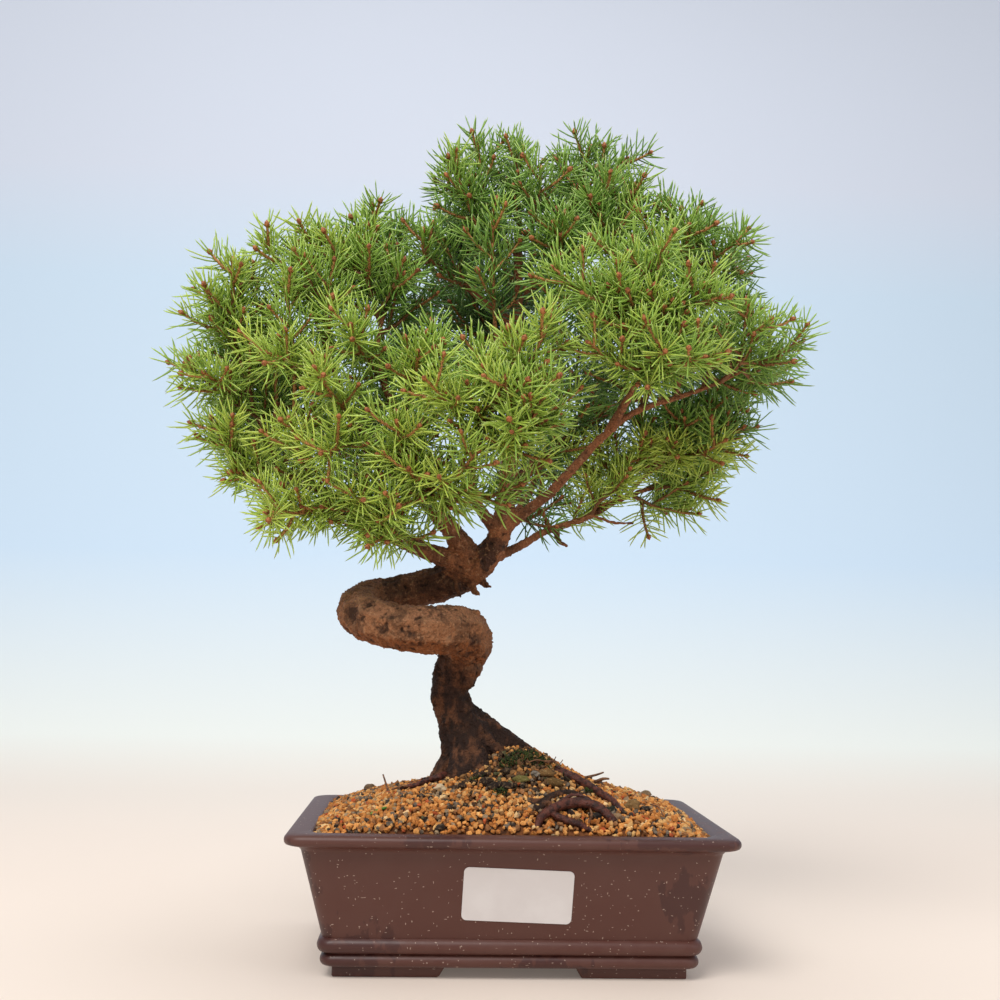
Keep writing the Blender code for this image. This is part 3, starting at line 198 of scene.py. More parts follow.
# Second stems that fork off the foot of a spray's first one.
FORKS = {
    "left_high": ((-131, 263, -10), (-145, 271, -18), (-157, 280, -25), (-168, 289, -30)),
    "middle_tall": ((-95, 295, -22), (-104, 316, -12), (-108, 337, -6), (-107, 359, -4)),
    "middle_high_left": ((-69, 315, -8), (-65, 328, -4), (-62, 338, -2), (-60, 350, -2)),
    "front_middle": ((-18, 252, -49), (-27, 265, -64), (-37, 276, -76), (-46, 285, -86)),
    "front_right_tall": ((72, 313, -52), (82, 321, -60), (91, 330, -67), (99, 339, -73)),
    "top_right_front": ((39, 355, -3), (53, 362, 1), (61, 371, 2), (64, 384, 2)),
    "low_right_tip": ((68, 230, 42), (82, 236, 52), (94, 241, 58), (106, 245, 62)),
}
# Tips of the many smaller sprays that fill the crown: (across, up, depth).
FILL = (
    (4, 231, -52), (25, 225, 30), (45, 224, 40), (91, 221, 52), (119, 264, 12), (-38, 242, -60),
    (-18, 248, -78), (3, 260, -84), (16, 265, -74), (43, 250, 30), (66, 245, 25), (34, 267, 26),
    (48, 272, 30), (27, 252, 34), (88, 259, 15), (110, 257, 0), (-43, 273, -56), (-24, 283, -78),
    (-5, 286, -90), (14, 284, -84), (28, 280, -50), (47, 292, 0), (66, 269, 24), (87, 271, 10),
    (105, 283, 10), (123, 289, 14), (-37, 303, -50), (-17, 302, -66), (3, 309, -72), (19, 319, -80),
    (39, 306, -76), (57, 316, -74), (76, 307, -84), (98, 307, -70), (-50, 327, 0), (-33, 318, 44),
    (-59, 347, -20), (-24, 333, 40), (3, 325, 44), (-15, 314, 56), (-44, 310, 48), (-1, 309, 62),
    (-32, 327, 60), (19, 346, -66), (40, 337, -66), (46, 323, -30), (61, 338, -60), (82, 330, -72),
    (105, 334, -66), (122, 329, -46), (23, 363, -36), (45, 360, -50), (55, 370, -30),
    (71, 367, -44), (91, 371, -34), (116, 363, -26), (62, 392, -14), (80, 384, -10), (38, 385, -30),
    (-25, 372, 20), (-9, 362, 26), (-40, 361, 8), (57, 406, 0), (-43, 391, -6), (-76, 376, 2),
    (-92, 358, -10), (-113, 361, -16), (-132, 355, -20), (-147, 344, -24), (-155, 323, -20),
    (-159, 285, -40), (-154, 261, -34), (-141, 235, -30), (-124, 216, -40), (-121, 271, 20),
    (-129, 255, 10), (-110, 286, 30), (-85, 298, 30), (-66, 277, 20), (-92, 271, 15),
    (-53, 294, 20), (-141, 280, 4), (-106, 252, 10), (-78, 252, 10), (-51, 258, -4), (84, 275, 22),
    (98, 281, 22), (-93, 219, -40), (-71, 214, -44), (-59, 224, -60), (-130, 300, 40),
    (-110, 330, 46), (-86, 350, 52), (-100, 262, 60), (-58, 300, 92), (-30, 280, 100),
    (-40, 330, 88), (-10, 300, 104), (8, 326, 90), (24, 296, 98), (40, 330, 82), (66, 318, 84),
    (84, 322, 64), (104, 300, 50), (96, 270, 60), (70, 250, 80), (40, 240, 88), (-4, 258, 100),
    (-60, 240, 84), (-90, 238, 70), (-20, 372, 60), (14, 380, 52), (40, 372, 40), (-12, 396, 34),
    (62, 356, 44), (118, 280, 30), (134, 290, 8), (-146, 270, 20), (-150, 300, 12), (100, 246, 60),
    (0, 230, 84), (30, 400, 20), (-44, 352, 50), (20, 352, 66),
)

Socket = bpy.types.NodeSocket
Piece = bpy.types.Object
Look = bpy.types.Material


def rgb(red: int, green: int, blue: int) -> tuple[float, float, float, float]:
    """A screen colour of 0 to 255 a channel as a linear colour with full alpha."""
    parts = [channel / 255 for channel in (red, green, blue)]
    return (*[p / 12.92 if p <= 0.04045 else ((p + 0.055) / 1.055) ** 2.4 for p in parts], 1.0)


def seen(across: float, up: float, depth: float) -> Vector:
    """Finds a point by how the viewer sees it.

    Args:
        across: How far right it looks on the upright plane through the pot's middle.
        up: How high it looks on that plane.
        depth: How far behind that plane it is.

    Returns:
        The point itself.
    """
    reach = (depth - VIEWPOINT.y) / -VIEWPOINT.y
    return VIEWPOINT + (Vector((across, 0.0, up)) - VIEWPOINT) * reach


def lengths_along(points: np.ndarray) -> np.ndarray:
    """The distance along a line of points at each of them."""
    return np.concatenate([[0], np.cumsum(np.linalg.norm(np.diff(points, axis=0), axis=1))])


def sampled(rows: np.ndarray, along: np.ndarray, wanted: np.ndarray) -> np.ndarray:
    """Rows read off at wanted distances along a line of rows."""
    return np.column_stack([np.interp(wanted, along, column) for column in rows.T])


def smooth_path(points: Sequence[Sequence[float]], step: float) -> np.ndarray:
    """Lays a smooth curve through points.

    Args:
        points: The points, whose entries may be longer than three.
        step: The distance between the points of the result.

    Returns:
        Rows as long as the entries, evenly spaced along the curve.
    """
    rows = np.array(points, float)
    rows = np.vstack([2 * rows[0] - rows[1], rows, 2 * rows[-1] - rows[-2]])
    dense = []
    for a, b, c, d in zip(rows, rows[1:], rows[2:], rows[3:]):
        for t in np.linspace(0, 1, SPANS_A_POINT, endpoint=False):
            bend = (2 * a - 5 * b + 4 * c - d) * t**2 + (3 * b - a - 3 * c + d) * t**3
            dense.append(b + 0.5 * ((c - a) * t + bend))
    curve = np.array(dense + [rows[-2]])
    along = lengths_along(curve[:, :3])
    return sampled(curve, along, np.linspace(0, along[-1], max(2, round(along[-1] / step) + 1)))


def seen_path(rows: Sequence[Sequence[float]], step: float) -> np.ndarray:
    """The smooth path through places as seen from VIEWPOINT, with what else their rows hold."""
    return smooth_path([(*seen(*row[:3]), *row[3:]) for row in rows], step)


def unit(rows: np.ndarray) -> np.ndarray:
    """Rows brought to a length of one."""
    return rows / np.maximum(np.linalg.norm(rows, axis=-1, keepdims=True), 1e-9)


def in_frame(points: np.ndarray) -> np.ndarray:
    """Places round the pot's middle as places in the frame, in metres."""
    return (points + np.array(POT_PLACE)) * MM


def spot(x: float, y: float, z: float) -> Vector:
    """One place round the pot's middle as a place in the frame, in metres."""
    return (POT_PLACE + Vector((x, y, z))) * MM


def select_only(*pieces: Piece) -> None:
    """Selects these pieces alone, and makes the first one active."""
    bpy.ops.object.select_all(action="DESELECT")
    for piece in pieces:
        piece.select_set(True)
    bpy.context.view_layer.objects.active = pieces[0]


def primitive(add: Callable, scale: Sequence[float] = (1, 1, 1), **settings: Any) -> Piece:
    """Adds one of Blender's own shapes.

    Args:
        add: The operator that adds it.
        scale: Its stretch along x, y and z.
        settings: The operator's own settings.

    Returns:
        The piece, with its place and stretch in its mesh.
    """
    bpy.ops.object.select_all(action="DESELECT")
    add(**settings)
    piece = bpy.context.object
    piece.scale = scale
    bpy.ops.object.transform_apply(location=True, rotation=True, scale=True)
    return piece


def edit(piece: Piece, mode: str, *steps: Callable) -> None:
    """Works on a piece's mesh in edit mode.

    Args:
        piece: The piece, whose whole mesh is selected at the start.
        mode: What is selected: VERT, EDGE or FACE.
        steps: What to do, one after the other.
    """
    select_only(piece)
    bpy.ops.object.mode_set(mode="EDIT")
    bpy.ops.mesh.select_mode(type=mode)
    bpy.ops.mesh.select_all(action="SELECT")
    for step in steps:
        step()
    bpy.ops.object.mode_set(mode="OBJECT")


def edit_edges(piece: Piece, line: tuple[float, float], step: Callable) -> None:
    """Works in edit mode on a piece's edges along one line.

    Args:
        piece: The piece.
        line: The line's y and z, in metres.
        step: What to do with the edges.
    """
    edit(piece, "EDGE", partial(bpy.ops.mesh.select_all, action="DESELECT"))
    for edge in piece.data.edges:
        ends = [piece.data.vertices[end].co for end in edge.vertices]
        edge.select = all(math.dist(end[1:], line) < NEAR for end in ends)
    bpy.ops.object.mode_set(mode="EDIT")
    step()
    bpy.ops.object.mode_set(mode="OBJECT")


def face_out(piece: Piece) -> None:
    """Merges a piece's doubles and turns its faces outwards."""
    merge = partial(bpy.ops.mesh.remove_doubles, threshold=WELD)
    edit(piece, "VERT", merge, bpy.ops.mesh.normals_make_consistent)


def lift(height: float) -> None:
    """Extrudes what is selected straight up by millimetres."""
    bpy.ops.mesh.extrude_region_move(TRANSFORM_OT_translate={"value": (0, 0, height * MM)})


def round_corners(piece: Piece, radius: float) -> None:
    """Rounds the corners of a flat piece."""
    bevel = partial(bpy.ops.mesh.bevel, offset=radius * MM, segments=6, affect="VERTICES")
    edit(piece, "VERT", bevel)


def modify(piece: Piece, kind: str, **settings: Any) -> None:
    """Adds a modifier to a piece and applies it.

    Args:
        piece: The piece.
        kind: The modifier's type.
        settings: Values of the modifier.
    """
    select_only(piece)
    added = piece.modifiers.new(kind.title(), kind)
    for name, value in settings.items():
        setattr(added, name, value)
    bpy.ops.object.modifier_apply(modifier=added.name)


def join(pieces: Sequence[Piece], name: str) -> Piece:
    """Joins pieces into the first one, which takes the name.

    Args:
        pieces: The pieces.
        name: The name.

    Returns:
        The first one.
    """
    select_only(*pieces)
    if len(pieces) > 1:
        bpy.ops.object.join()
    pieces[0].name = pieces[0].data.name = name
    return pieces[0]


def link(name: str, data: bpy.types.ID) -> Piece:
    """Makes an object of its data and adds it to the scene.

    Args:
        name: Its name.
        data: Its mesh, curve, light or camera.

    Returns:
        The object.
    """
    made = bpy.data.objects.new(name, data)
    bpy.context.scene.collection.objects.link(made)
    return made


def mesh_piece(name: str, points: np.ndarray, faces: np.ndarray, smooth: bool) -> Piece:
    """Makes a piece from rows of points and faces.

    Args:
        name: Its name.
        points: Its points, in millimetres round the pot's middle.
        faces: Its faces, each a row of as many points.
        smooth: Whether its faces are shaded smooth.

    Returns:
        The piece.
    """
    mesh = bpy.data.meshes.new(name)
    count, sides = faces.shape
    mesh.vertices.add(len(points))
    mesh.vertices.foreach_set("co", in_frame(points).ravel())
    mesh.loops.add(count * sides)
    mesh.loops.foreach_set("vertex_index", faces.astype(np.int32).ravel())
    mesh.polygons.add(count)
    mesh.polygons.foreach_set("loop_start", np.arange(count, dtype=np.int32) * sides)
    mesh.polygons.foreach_set("use_smooth", np.full(count, smooth))
    mesh.update(calc_edges=True)
    return link(name, mesh)


def write_attribute(piece: Piece, name: str, values: np.ndarray) -> None:
    """Writes one number, or one colour, for each point of a piece."""
    kind, field = ("FLOAT", "value") if values.ndim == 1 else ("FLOAT_COLOR", "color")
    piece.data.attributes.new(name, kind, "POINT").data.foreach_set(field, values.ravel())


def rows_of(items: Any, field: str) -> np.ndarray:
    """Three numbers of each of a mesh's items, as rows.

    Args:
        items: The mesh's items.
        field: What is read of each.

    Returns:
        The rows.
    """
    rows = np.empty(len(items) * 3)
    items.foreach_get(field, rows)
    return rows.reshape(-1, 3)


def points_of(piece: Piece) -> np.ndarray:
    """A piece's points, in millimetres round the pot's middle."""
    return rows_of(piece.data.vertices, "co") / MM - np.array(POT_PLACE)


def move_points(piece: Piece, points: np.ndarray) -> None:
    """Puts a piece's points at new places, in millimetres round the pot's middle."""
    piece.data.vertices.foreach_set("co", in_frame(points).ravel())
    piece.data.update()


def triangles(piece: Piece) -> int:
    """How many triangles a piece has."""
    return sum(len(face.vertices) - 2 for face in piece.data.polygons)


def tubes(name: str, paths: Iterable[np.ndarray], sides: int) -> Piece:
    """Makes closed round tubes along paths, as one piece.

    Args:
        name: Its name.
        paths: Rows of x, y, z and radius for each tube.
        sides: How many sides a tube has: 4, 6 or 8.

    Returns:
        The piece.
    """
    curve = bpy.data.curves.new(name, "CURVE")
    curve.dimensions = "3D"
    curve.bevel_depth = MM
    curve.bevel_resolution = (sides - 4) // 2
    curve.use_fill_caps = True
    for rows in paths:
        spline = curve.splines.new("POLY")
        spline.points.add(len(rows) - 1)
        places = np.column_stack([in_frame(rows[:, :3]), np.ones(len(rows))])
        spline.points.foreach_set("co", places.ravel())
        spline.points.foreach_set("radius", np.ascontiguousarray(rows[:, 3]))
    piece = link(name, curve)
    select_only(piece)
    bpy.ops.object.convert(target="MESH")
    piece.data.shade_smooth()
    return piece


def stamp(shape: tuple, frames: np.ndarray, places: np.ndarray) -> tuple:
    """Copies one small shape many times.

    Args:
        shape: Its points, with as many entries as a frame has rows, and its faces.
        frames: For each copy, the direction and size of each entry.
        places: Where each copy goes.

    Returns:
        The points and the faces of all the copies.
    """
    points, faces = shape
    made = np.einsum("mk,nkj->nmj", points, frames) + places[:, None]
    shift = np.arange(len(places))[:, None, None] * len(points)
    return made.reshape(-1, 3), (faces[None] + shift).reshape(-1, faces.shape[1])


def spindle(rings: Sequence[tuple[float, float]], sides: int, curved: bool) -> tuple:
    """A pointed shape of length one, closed by a fan of triangles at its foot.

    Args:
        rings: The height and the radius of each ring.
        sides: How many points a ring has.
        curved: Whether each point has its height squared as a fourth entry.

    Returns:
        Its points and its faces.
    """
    points = [
        (width * math.cos(turn), width * math.sin(turn), height)
        for height, width in rings
        for turn in np.arange(sides) * math.tau / sides
    ]
    points = np.array([*points, (0.0, 0.0, 1.0)])
    faces = [(0, side + 1, side) for side in range(1, sides - 1)]
    last = len(points) - 1 - sides
    for side in range(sides):
        after = (side + 1) % sides
        for low in range(0, last, sides):
            faces.append((low + side, low + after, low + sides + after))
            faces.append((low + side, low + sides + after, low + sides + side))
        faces.append((last + side, last + after, last + sides))
    return np.column_stack([points, points[:, 2] ** 2]) if curved else points, np.array(faces)


def finish_piece(piece: Piece, look: Look, slot: str, *nodes: str) -> Piece:
    """Dresses a piece and ties it to the frame.

    Args:
        piece: The piece.
        look: Its material.
        slot: The record's material slot; it is not used.
        nodes: The CAD nodes it stands for.

    Returns:
        The piece.
    """
    piece.data.materials.clear()
    piece.data.materials.append(look)
    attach(piece, BODY)
    if nodes:
        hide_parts(*nodes)
    LOG.info("%s: %d triangles", piece.name, triangles(piece))
    return piece


class Effect(Enum):
    """The effects that several finishes share, by the name of their node group."""

    MOTTLE = "mottle"
    FLECKS = "flecks"
    CRUMB = "crumb"


class Graph:
    """A node tree being filled, of a material or of a shared effect."""

    def __init__(self, tree: bpy.types.NodeTree) -> None:
        """Keeps the tree."""
        self.tree = tree

    def put(self, kind: str, inputs: Optional[dict] = None, **settings: Any) -> bpy.types.Node:
        """Adds a node.

        Args:
            kind: Its type, without the first words that all shader nodes share.
            inputs: A value, or a socket to link from, for each named or numbered input.
            settings: Other values of the node.

        Returns:
            The node.
        """
        node = self.tree.nodes.new(f"ShaderNode{kind}")
        for name, value in settings.items():
            setattr(node, name, value)
        for key, value in (inputs or {}).items():
            if isinstance(value, Socket):
                self.tree.links.new(value, node.inputs[key])
            else:
                node.inputs[key].default_value = value
        return node

    def blend(self, factor: Any, low: Any, high: Any) -> Socket:
        """A colour between two, by a factor of 0 to 1."""
        return self.put("Mix", {0: factor, 6: low, 7: high}, data_type="RGBA").outputs[2]

    def sums(self, operation: str, *values: Any) -> Socket:
        """The result of a sum on numbers, held between 0 and 1."""
        return self.put("Math", dict(enumerate(values)), operation=operation, use_clamp=True).outputs[0]

    def times(self, *values: Any) -> Socket:
        """Two numbers multiplied, held between 0 and 1."""
        return self.sums("MULTIPLY", *values)

    def step(self, value: Any, low: Any, high: Any) -> Socket:
        """A smooth step from 0 at `low` to 1 at `high`."""
        inputs = {"Value": value, "From Min": low, "From Max": high}
        return self.put("MapRange", inputs, interpolation_type="SMOOTHSTEP").outputs[0]

    def ramp(self, value: Any, stops: Sequence[tuple[float, tuple]]) -> Socket:
        """A colour that runs through the stops as a value goes from 0 to 1.

        Args:
            value: The value.
            stops: Places from 0 to 1 with their colours.

        Returns:
            The colour.
        """
        node = self.put("ValToRGB", {0: value})
        elements = node.color_ramp.elements
        while len(elements) < len(stops):
            elements.new(0.5)
        for element, (place, color) in zip(elements, stops):
            element.position = place
            element.color = color
        return node.outputs[0]

    def mapped(self, vector: Socket, **values: tuple) -> Socket:
        """A place that is moved, turned or scaled."""
        inputs = {"Vector": vector, **{name.title(): value for name, value in values.items()}}
        return self.put("Mapping", inputs).outputs[0]


class SharedEffect(Graph):
    """One effect being built as a node group, with number inputs and one output."""

    def __init__(self, effect: Effect, output: str, **sizes: float) -> None:
        """Starts the group.

        Args:
            effect: Which effect it is.
            output: The name of its output.
            sizes: Its number inputs and their defaults, after a Vector input.
        """
        super().__init__(bpy.data.node_groups.new(effect.value, "ShaderNodeTree"))
        add = self.tree.interface.new_socket
        add(name="Vector", in_out="INPUT", socket_type="NodeSocketVector")
        for name, value in sizes.items():
            add(name=name.title(), in_out="INPUT", socket_type="NodeSocketFloat").default_value = value
        add(name=output, in_out="OUTPUT", socket_type="NodeSocketFloat")
        self.ins = self.tree.nodes.new("NodeGroupInput").outputs

    def pattern(self, kind: str, vector: Socket, detail: Optional[dict] = None, **settings: Any) -> dict:
        """The outputs of a noise or cell pattern, at the group's scale."""
        inputs = {"Vector": vector, "Scale": self.ins["Scale"], **(detail or {})}
        return self.put(kind, inputs, **settings).outputs

    def close(self, result: Socket) -> bpy.types.NodeTree:
        """Links the output and returns the group."""
        self.tree.links.new(result, self.tree.nodes.new("NodeGroupOutput").inputs[0])
        return self.tree


def mottle_group() -> bpy.types.NodeTree:
    """Builds soft patches between two levels of a noise."""
    group = SharedEffect(Effect.MOTTLE, "Mask", scale=100.0, low=0.4, high=0.6)
    grain = group.pattern("TexNoise", group.ins["Vector"], {"Detail": 5.0})[0]
    return group.close(group.step(grain, group.ins["Low"], group.ins["High"]))


def flecks_group() -> bpy.types.NodeTree:
    """Builds small separate marks of uneven outline, in some of the cells of a pattern."""
    group = SharedEffect(Effect.FLECKS, "Mask", scale=200.0, size=0.25, share=0.3)
    stir = group.pattern("TexNoise", group.ins["Vector"], {"Detail": 1.0})[1]
    reach = group.put("Math", {0: 0.9, 1: group.ins["Scale"]}, operation="DIVIDE").outputs[0]
    offset = group.put("VectorMath", {0: stir, "Scale": reach}, operation="SCALE").outputs[0]
    moved = group.put("VectorMath", {0: group.ins["Vector"], 1: offset}).outputs[0]
    cells = group.pattern("TexVoronoi", moved)
    chance = group.put("SeparateColor", {0: cells["Color"]}).outputs[0]
    near = group.sums("LESS_THAN", cells["Distance"], group.ins["Size"])
    return group.close(group.times(near, group.sums("LESS_THAN", chance, group.ins["Share"])))


def crumb_group() -> bpy.types.NodeTree:
    """Builds the heights of a crumbly surface: fine noise over rounded cells."""
    group = SharedEffect(Effect.CRUMB, "Height", scale=500.0, cells=0.5)
    grain = group.pattern("TexNoise", group.ins["Vector"], {"Detail": 6.0})[0]
    cells = group.pattern("TexVoronoi", group.ins["Vector"], feature="SMOOTH_F1")["Distance"]
    both = group.put("Mix", {0: group.ins["Cells"], 2: grain, 3: cells}, data_type="FLOAT")
    return group.close(both.outputs[0])


class Material(Graph):
    """A material being made. Its `shade` is the base colour so far."""

    groups: dict[Effect, bpy.types.NodeTree] = {}

    def __init__(self, name: str, shade: Any = None, **sockets: float) -> None:
        """Starts a material.

        Args:
            name: Its name.
            shade: Its first colour.
            sockets: Plain values of its shader, by name in small letters.
        """
        self.made = bpy.data.materials.new(name)
        self.made.use_nodes = True
        super().__init__(self.made.node_tree)
        self.shade = shade
        self.shader = self.tree.nodes["Principled BSDF"].inputs
        for socket, value in sockets.items():
            self.shader[socket.replace("_", " ").title().replace("Ior", "IOR")].default_value = value
        self.place = self.put("TexCoord").outputs["Object"]

    def read(self, name: str, output: str = "Fac") -> Socket:
        """A number or a colour of the piece's own, by the name of its attribute."""
        return self.put("Attribute", attribute_name=name).outputs[output]

    def effect(self, effect: Effect, vector: Optional[Socket] = None, **values: float) -> Socket:
        """Places a shared effect.

        Args:
            effect: Which effect.
            vector: What its pattern follows, or else the piece's own coordinates.
            values: Its number inputs, by name in small letters.

        Returns:
            Its output.
        """
        node = self.tree.nodes.new("ShaderNodeGroup")
        node.node_tree = self.groups[effect]
        self.tree.links.new(vector or self.place, node.inputs["Vector"])
        for name, value in values.items():
            node.inputs[name.title()].default_value = value
        return node.outputs[0]

    def mottle(self, scale: float, low: float, high: float, vector: Optional[Socket] = None) -> Socket:
        """Soft patches between two levels of a noise."""
        return self.effect(Effect.MOTTLE, vector, scale=scale, low=low, high=high)

    def paint(self, mask: Any, share: float, color: Any) -> None:
        """Lays a colour over the shade, as strong as a mask of 0 to 1 times a share."""
        self.shade = self.blend(self.times(mask, share), self.shade, color)

    def close(self, scale: float, cells: float, depth: float, strength: float = 1.0) -> Look:
        """Gives the material its colour and a crumbly surface.

        Args:
            scale: How fine the crumbs are.
            cells: How much of them is rounded cells, from 0 to 1.
            depth: The most they stand out, in metres.
            strength: How much of that is shown.

        Returns:
            The material.
        """
        height = self.effect(Effect.CRUMB, scale=scale, cells=cells)
        inputs = {"Height": height, "Distance": depth, "Strength": strength}
        self.tree.links.new(self.put("Bump", inputs).outputs[0], self.shader["Normal"])
        self.tree.links.new(self.shade, self.shader["Base Color"])
        return self.made


@dataclass(frozen=True)
class GlazedBrown:
    """The pot's satin brown glaze, with pale flecks, wet patches, a haze on its ribs and a painted sheen on
    its rim.

    `wet` holds ovals: their middle across and up, and their half width and height, in metres.
    `flecks` holds sorts of flecks: their squeeze across and up, scale, size and share.
    """

    body: tuple = rgb(108, 61, 46)
    deep: tuple = rgb(54, 14, 12)
    haze_and_sheen: tuple = rgb(122, 82, 69)
    fleck: tuple = rgb(186, 162, 146)
    wet: tuple = (
        (0.089, 0.037, 0.019, 0.017), (0.086, 0.0635, 0.05, 0.006), (-0.027, 0.0635, 0.022, 0.006),
        (-0.070, 0.010, 0.038, 0.022), (-0.090, 0.042, 0.016, 0.024), (0.03, 0.005, 0.03, 0.008),
    )
    flecks: tuple = (
        (1.0, 2.6, 420.0, 0.2, 0.07), (2.4, 1.0, 380.0, 0.19, 0.06), (1.0, 1.0, 760.0, 0.22, 0.07),
        (1.0, 3.0, 230.0, 0.12, 0.05),
    )

    @staticmethod
    def patch(made: Material, oval: tuple, ragged: Socket) -> Socket:
        """An oval patch with a ragged edge.

        Args:
            made: The material.
            oval: Its middle across and up, and its half width and height, in metres.
            ragged: A noise from 0 to 1.

        Returns:
            1 in the patch and 0 outside.
        """
        across, up, wide, high = oval
        shift = (-across / wide, 0.0, -up / high)
        moved = made.mapped(made.place, location=shift, scale=(1.0 / wide, 0.0, 1.0 / high))
        off = made.put("VectorMath", {0: moved}, operation="LENGTH").outputs["Value"]
        return made.step(made.sums("ADD", off, made.times(ragged, 0.7)), 1.25, 0.85)

    def make(self) -> Look:
        """Makes the material."""
        made = Material("glazed_brown", self.body, coat_weight=0.12, coat_roughness=0.4)
        made.paint(made.mottle(55.0, 0.3, 0.75), 0.35, self.haze_and_sheen)
        ragged = made.mottle(190.0, 0.3, 0.7, made.mapped(made.place, scale=(1.0, 1.0, 0.4)))
        wet = 0.0
        for oval in self.wet:
            wet = made.sums("MAXIMUM", wet, self.patch(made, oval, ragged))
        height = made.put("SeparateXYZ", {0: made.place}).outputs["Z"]
        on_rib = made.times(made.step(height, 0.004, 0.009), made.step(height, 0.021, 0.016))
        rib_worn = made.times(made.times(on_rib, made.mottle(140.0, 0.4, 0.7)), 0.6)
        # Painted sheen: the top of the rim is lightened as a highlight, while the ribs' lighter patches are
        # real wear.
        rim_painted_sheen = made.times(made.step(height, 0.0615, 0.0650), 0.45)
        rib_wear_and_rim_sheen = made.sums("ADD", rib_worn, rim_painted_sheen)
        made.shade = made.blend(rib_wear_and_rim_sheen, made.shade, self.haze_and_sheen)
        made.paint(wet, 0.85, self.deep)
        flecks = 0.0
        for across, up, scale, size, share in self.flecks:
            tilted = made.mapped(made.place, rotation=(0.0, 0.5, 0.0), scale=(across, across, up))
            more = made.effect(Effect.FLECKS, tilted, scale=scale, size=size, share=share)
            flecks = made.sums("MAXIMUM", flecks, more)
        made.paint(flecks, 0.65, self.fleck)
        dry = made.sums("SUBTRACT", 0.56, made.times(wet, 0.12))
        rough = made.sums("ADD", dry, made.times(rib_wear_and_rim_sheen, 0.15))
        made.tree.links.new(rough, made.shader["Roughness"])
        return made.close(260.0, 0.35, 0.00035, 0.5)


@dataclass(frozen=True)
class Bark:
    """Bark that goes from red-brown boughs, over the brown loop, to a dark streaked foot."""

    bough: tuple = rgb(146, 92, 58)
    loop: tuple = rgb(158, 106, 70)
    back: tuple = rgb(72, 45, 32)
    foot: tuple = rgb(46, 28, 20)
    streak: tuple = rgb(116, 74, 48)
    lit: tuple = rgb(166, 120, 92)
    under: tuple = rgb(140, 80, 40)
    pit_and_crevice_shade: tuple = rgb(36, 23, 16)
    wet: tuple = rgb(52, 32, 22)
    scale: tuple = rgb(188, 142, 104)

    def make(self) -> Look:
        """Makes the material."""
        made = Material("bark", roughness=0.78, specular_ior_level=0.3)
        age, top, dent = [made.read(name) for name in ("age", "top", "dent")]
        colors = (self.bough, self.back, self.loop, self.back, self.foot)
        made.shade = made.ramp(age, list(zip((0.0, 0.35, 0.58, 0.8, 1.0), colors)))
        bare = made.times(made.step(age, 0.35, 0.58), made.step(age, 0.9, 0.7))
        # Painted light and shade: bare wood facing up is lightened, and bare wood facing down is darkened to
        # orange.
        made.paint(made.times(bare, made.step(top, 0.5, 1.0)), 0.5, self.lit)
        made.paint(made.times(bare, made.step(top, 0.45, 0.05)), 0.8, self.under)
        streaks = made.mottle(150.0, 0.46, 0.6, made.mapped(made.place, scale=(1.0, 1.0, 0.5)))
        made.paint(made.times(streaks, made.step(age, 0.62, 0.85)), 0.8, self.streak)
        made.paint(made.mottle(75.0, 0.5, 0.62), 0.45, self.pit_and_crevice_shade)
        made.paint(made.mottle(330.0, 0.52, 0.68), 0.45, self.pit_and_crevice_shade)
        scales = made.times(made.mottle(520.0, 0.58, 0.66), made.step(age, 0.85, 0.6))
        made.paint(scales, 0.4, self.scale)
        made.paint(made.mottle(1100.0, 0.45, 0.7), 0.4, self.pit_and_crevice_shade)
        # Painted shade: the bark's crevices, where the relief is low, are darkened.
        made.paint(made.step(dent, 0.42, 0.12), 0.75, self.pit_and_crevice_shade)
        ragged = made.times(made.mottle(420.0, 0.35, 0.65), 0.6)
        made.paint(made.step(made.sums("ADD", made.read("stain"), ragged), 0.6, 1.25), 0.75, self.wet)
        ridge = made.times(made.step(dent, 0.6, 0.95), made.step(age, 0.85, 0.65))
        made.paint(ridge, 0.35, self.scale)
        return made.close(800.0, 0.45, 0.002)


@dataclass(frozen=True)
class TwigSkin:
    """Young orange-brown twigs with peg scars, and red-brown buds on them."""

    twig: tuple = rgb(186, 130, 78)
    old: tuple = rgb(112, 72, 46)
    scar: tuple = rgb(110, 68, 40)
    bud: tuple = rgb(178, 112, 66)
    bud_tip: tuple = rgb(122, 68, 40)

    def make(self) -> Look:
        """Makes the material."""
        made = Material("twigs", roughness=0.62, specular_ior_level=0.35)
        made.shade = made.blend(made.read("old"), self.twig, self.old)
        made.paint(made.mottle(1000.0, 0.5, 0.62), 0.75, self.scar)
        bud = made.blend(made.mottle(900.0, 0.4, 0.62), self.bud, self.bud_tip)
        made.shade = made.blend(made.read("bud"), made.shade, bud)
        return made.close(1100.0, 0.6, 0.0005)


@dataclass(frozen=True)
class NeedleGreen:
    """Needles from yellow-green in painted light to deep green in painted shade, paler at the tip."""

    bright: tuple = rgb(196, 216, 92)
    fresh: tuple = rgb(154, 190, 80)
    middle: tuple = rgb(110, 152, 66)
    deep: tuple = rgb(66, 104, 50)
    tip: tuple = rgb(216, 226, 150)
    foot: tuple = rgb(160, 172, 90)

    def make(self) -> Look:
        """Makes the material."""
        made = Material("needles", roughness=0.36, specular_ior_level=0.5)
        along = made.read("along")
        stops = [(0.0, self.bright), (0.3, self.fresh), (0.6, self.middle), (1.0, self.deep)]
        # The ramp runs from painted light to painted shade, with a random spread on top.
        made.shade = made.ramp(made.read("shade_and_tone"), stops)
        made.paint(made.step(along, 0.8, 1.0), 0.5, self.tip)
        made.paint(made.step(along, 0.14, 0.0), 0.4, self.foot)
        made.paint(made.mottle(320.0, 0.4, 0.7), 0.18, self.deep)
        return made.close(1500.0, 0.2, 0.0001, 0.4)


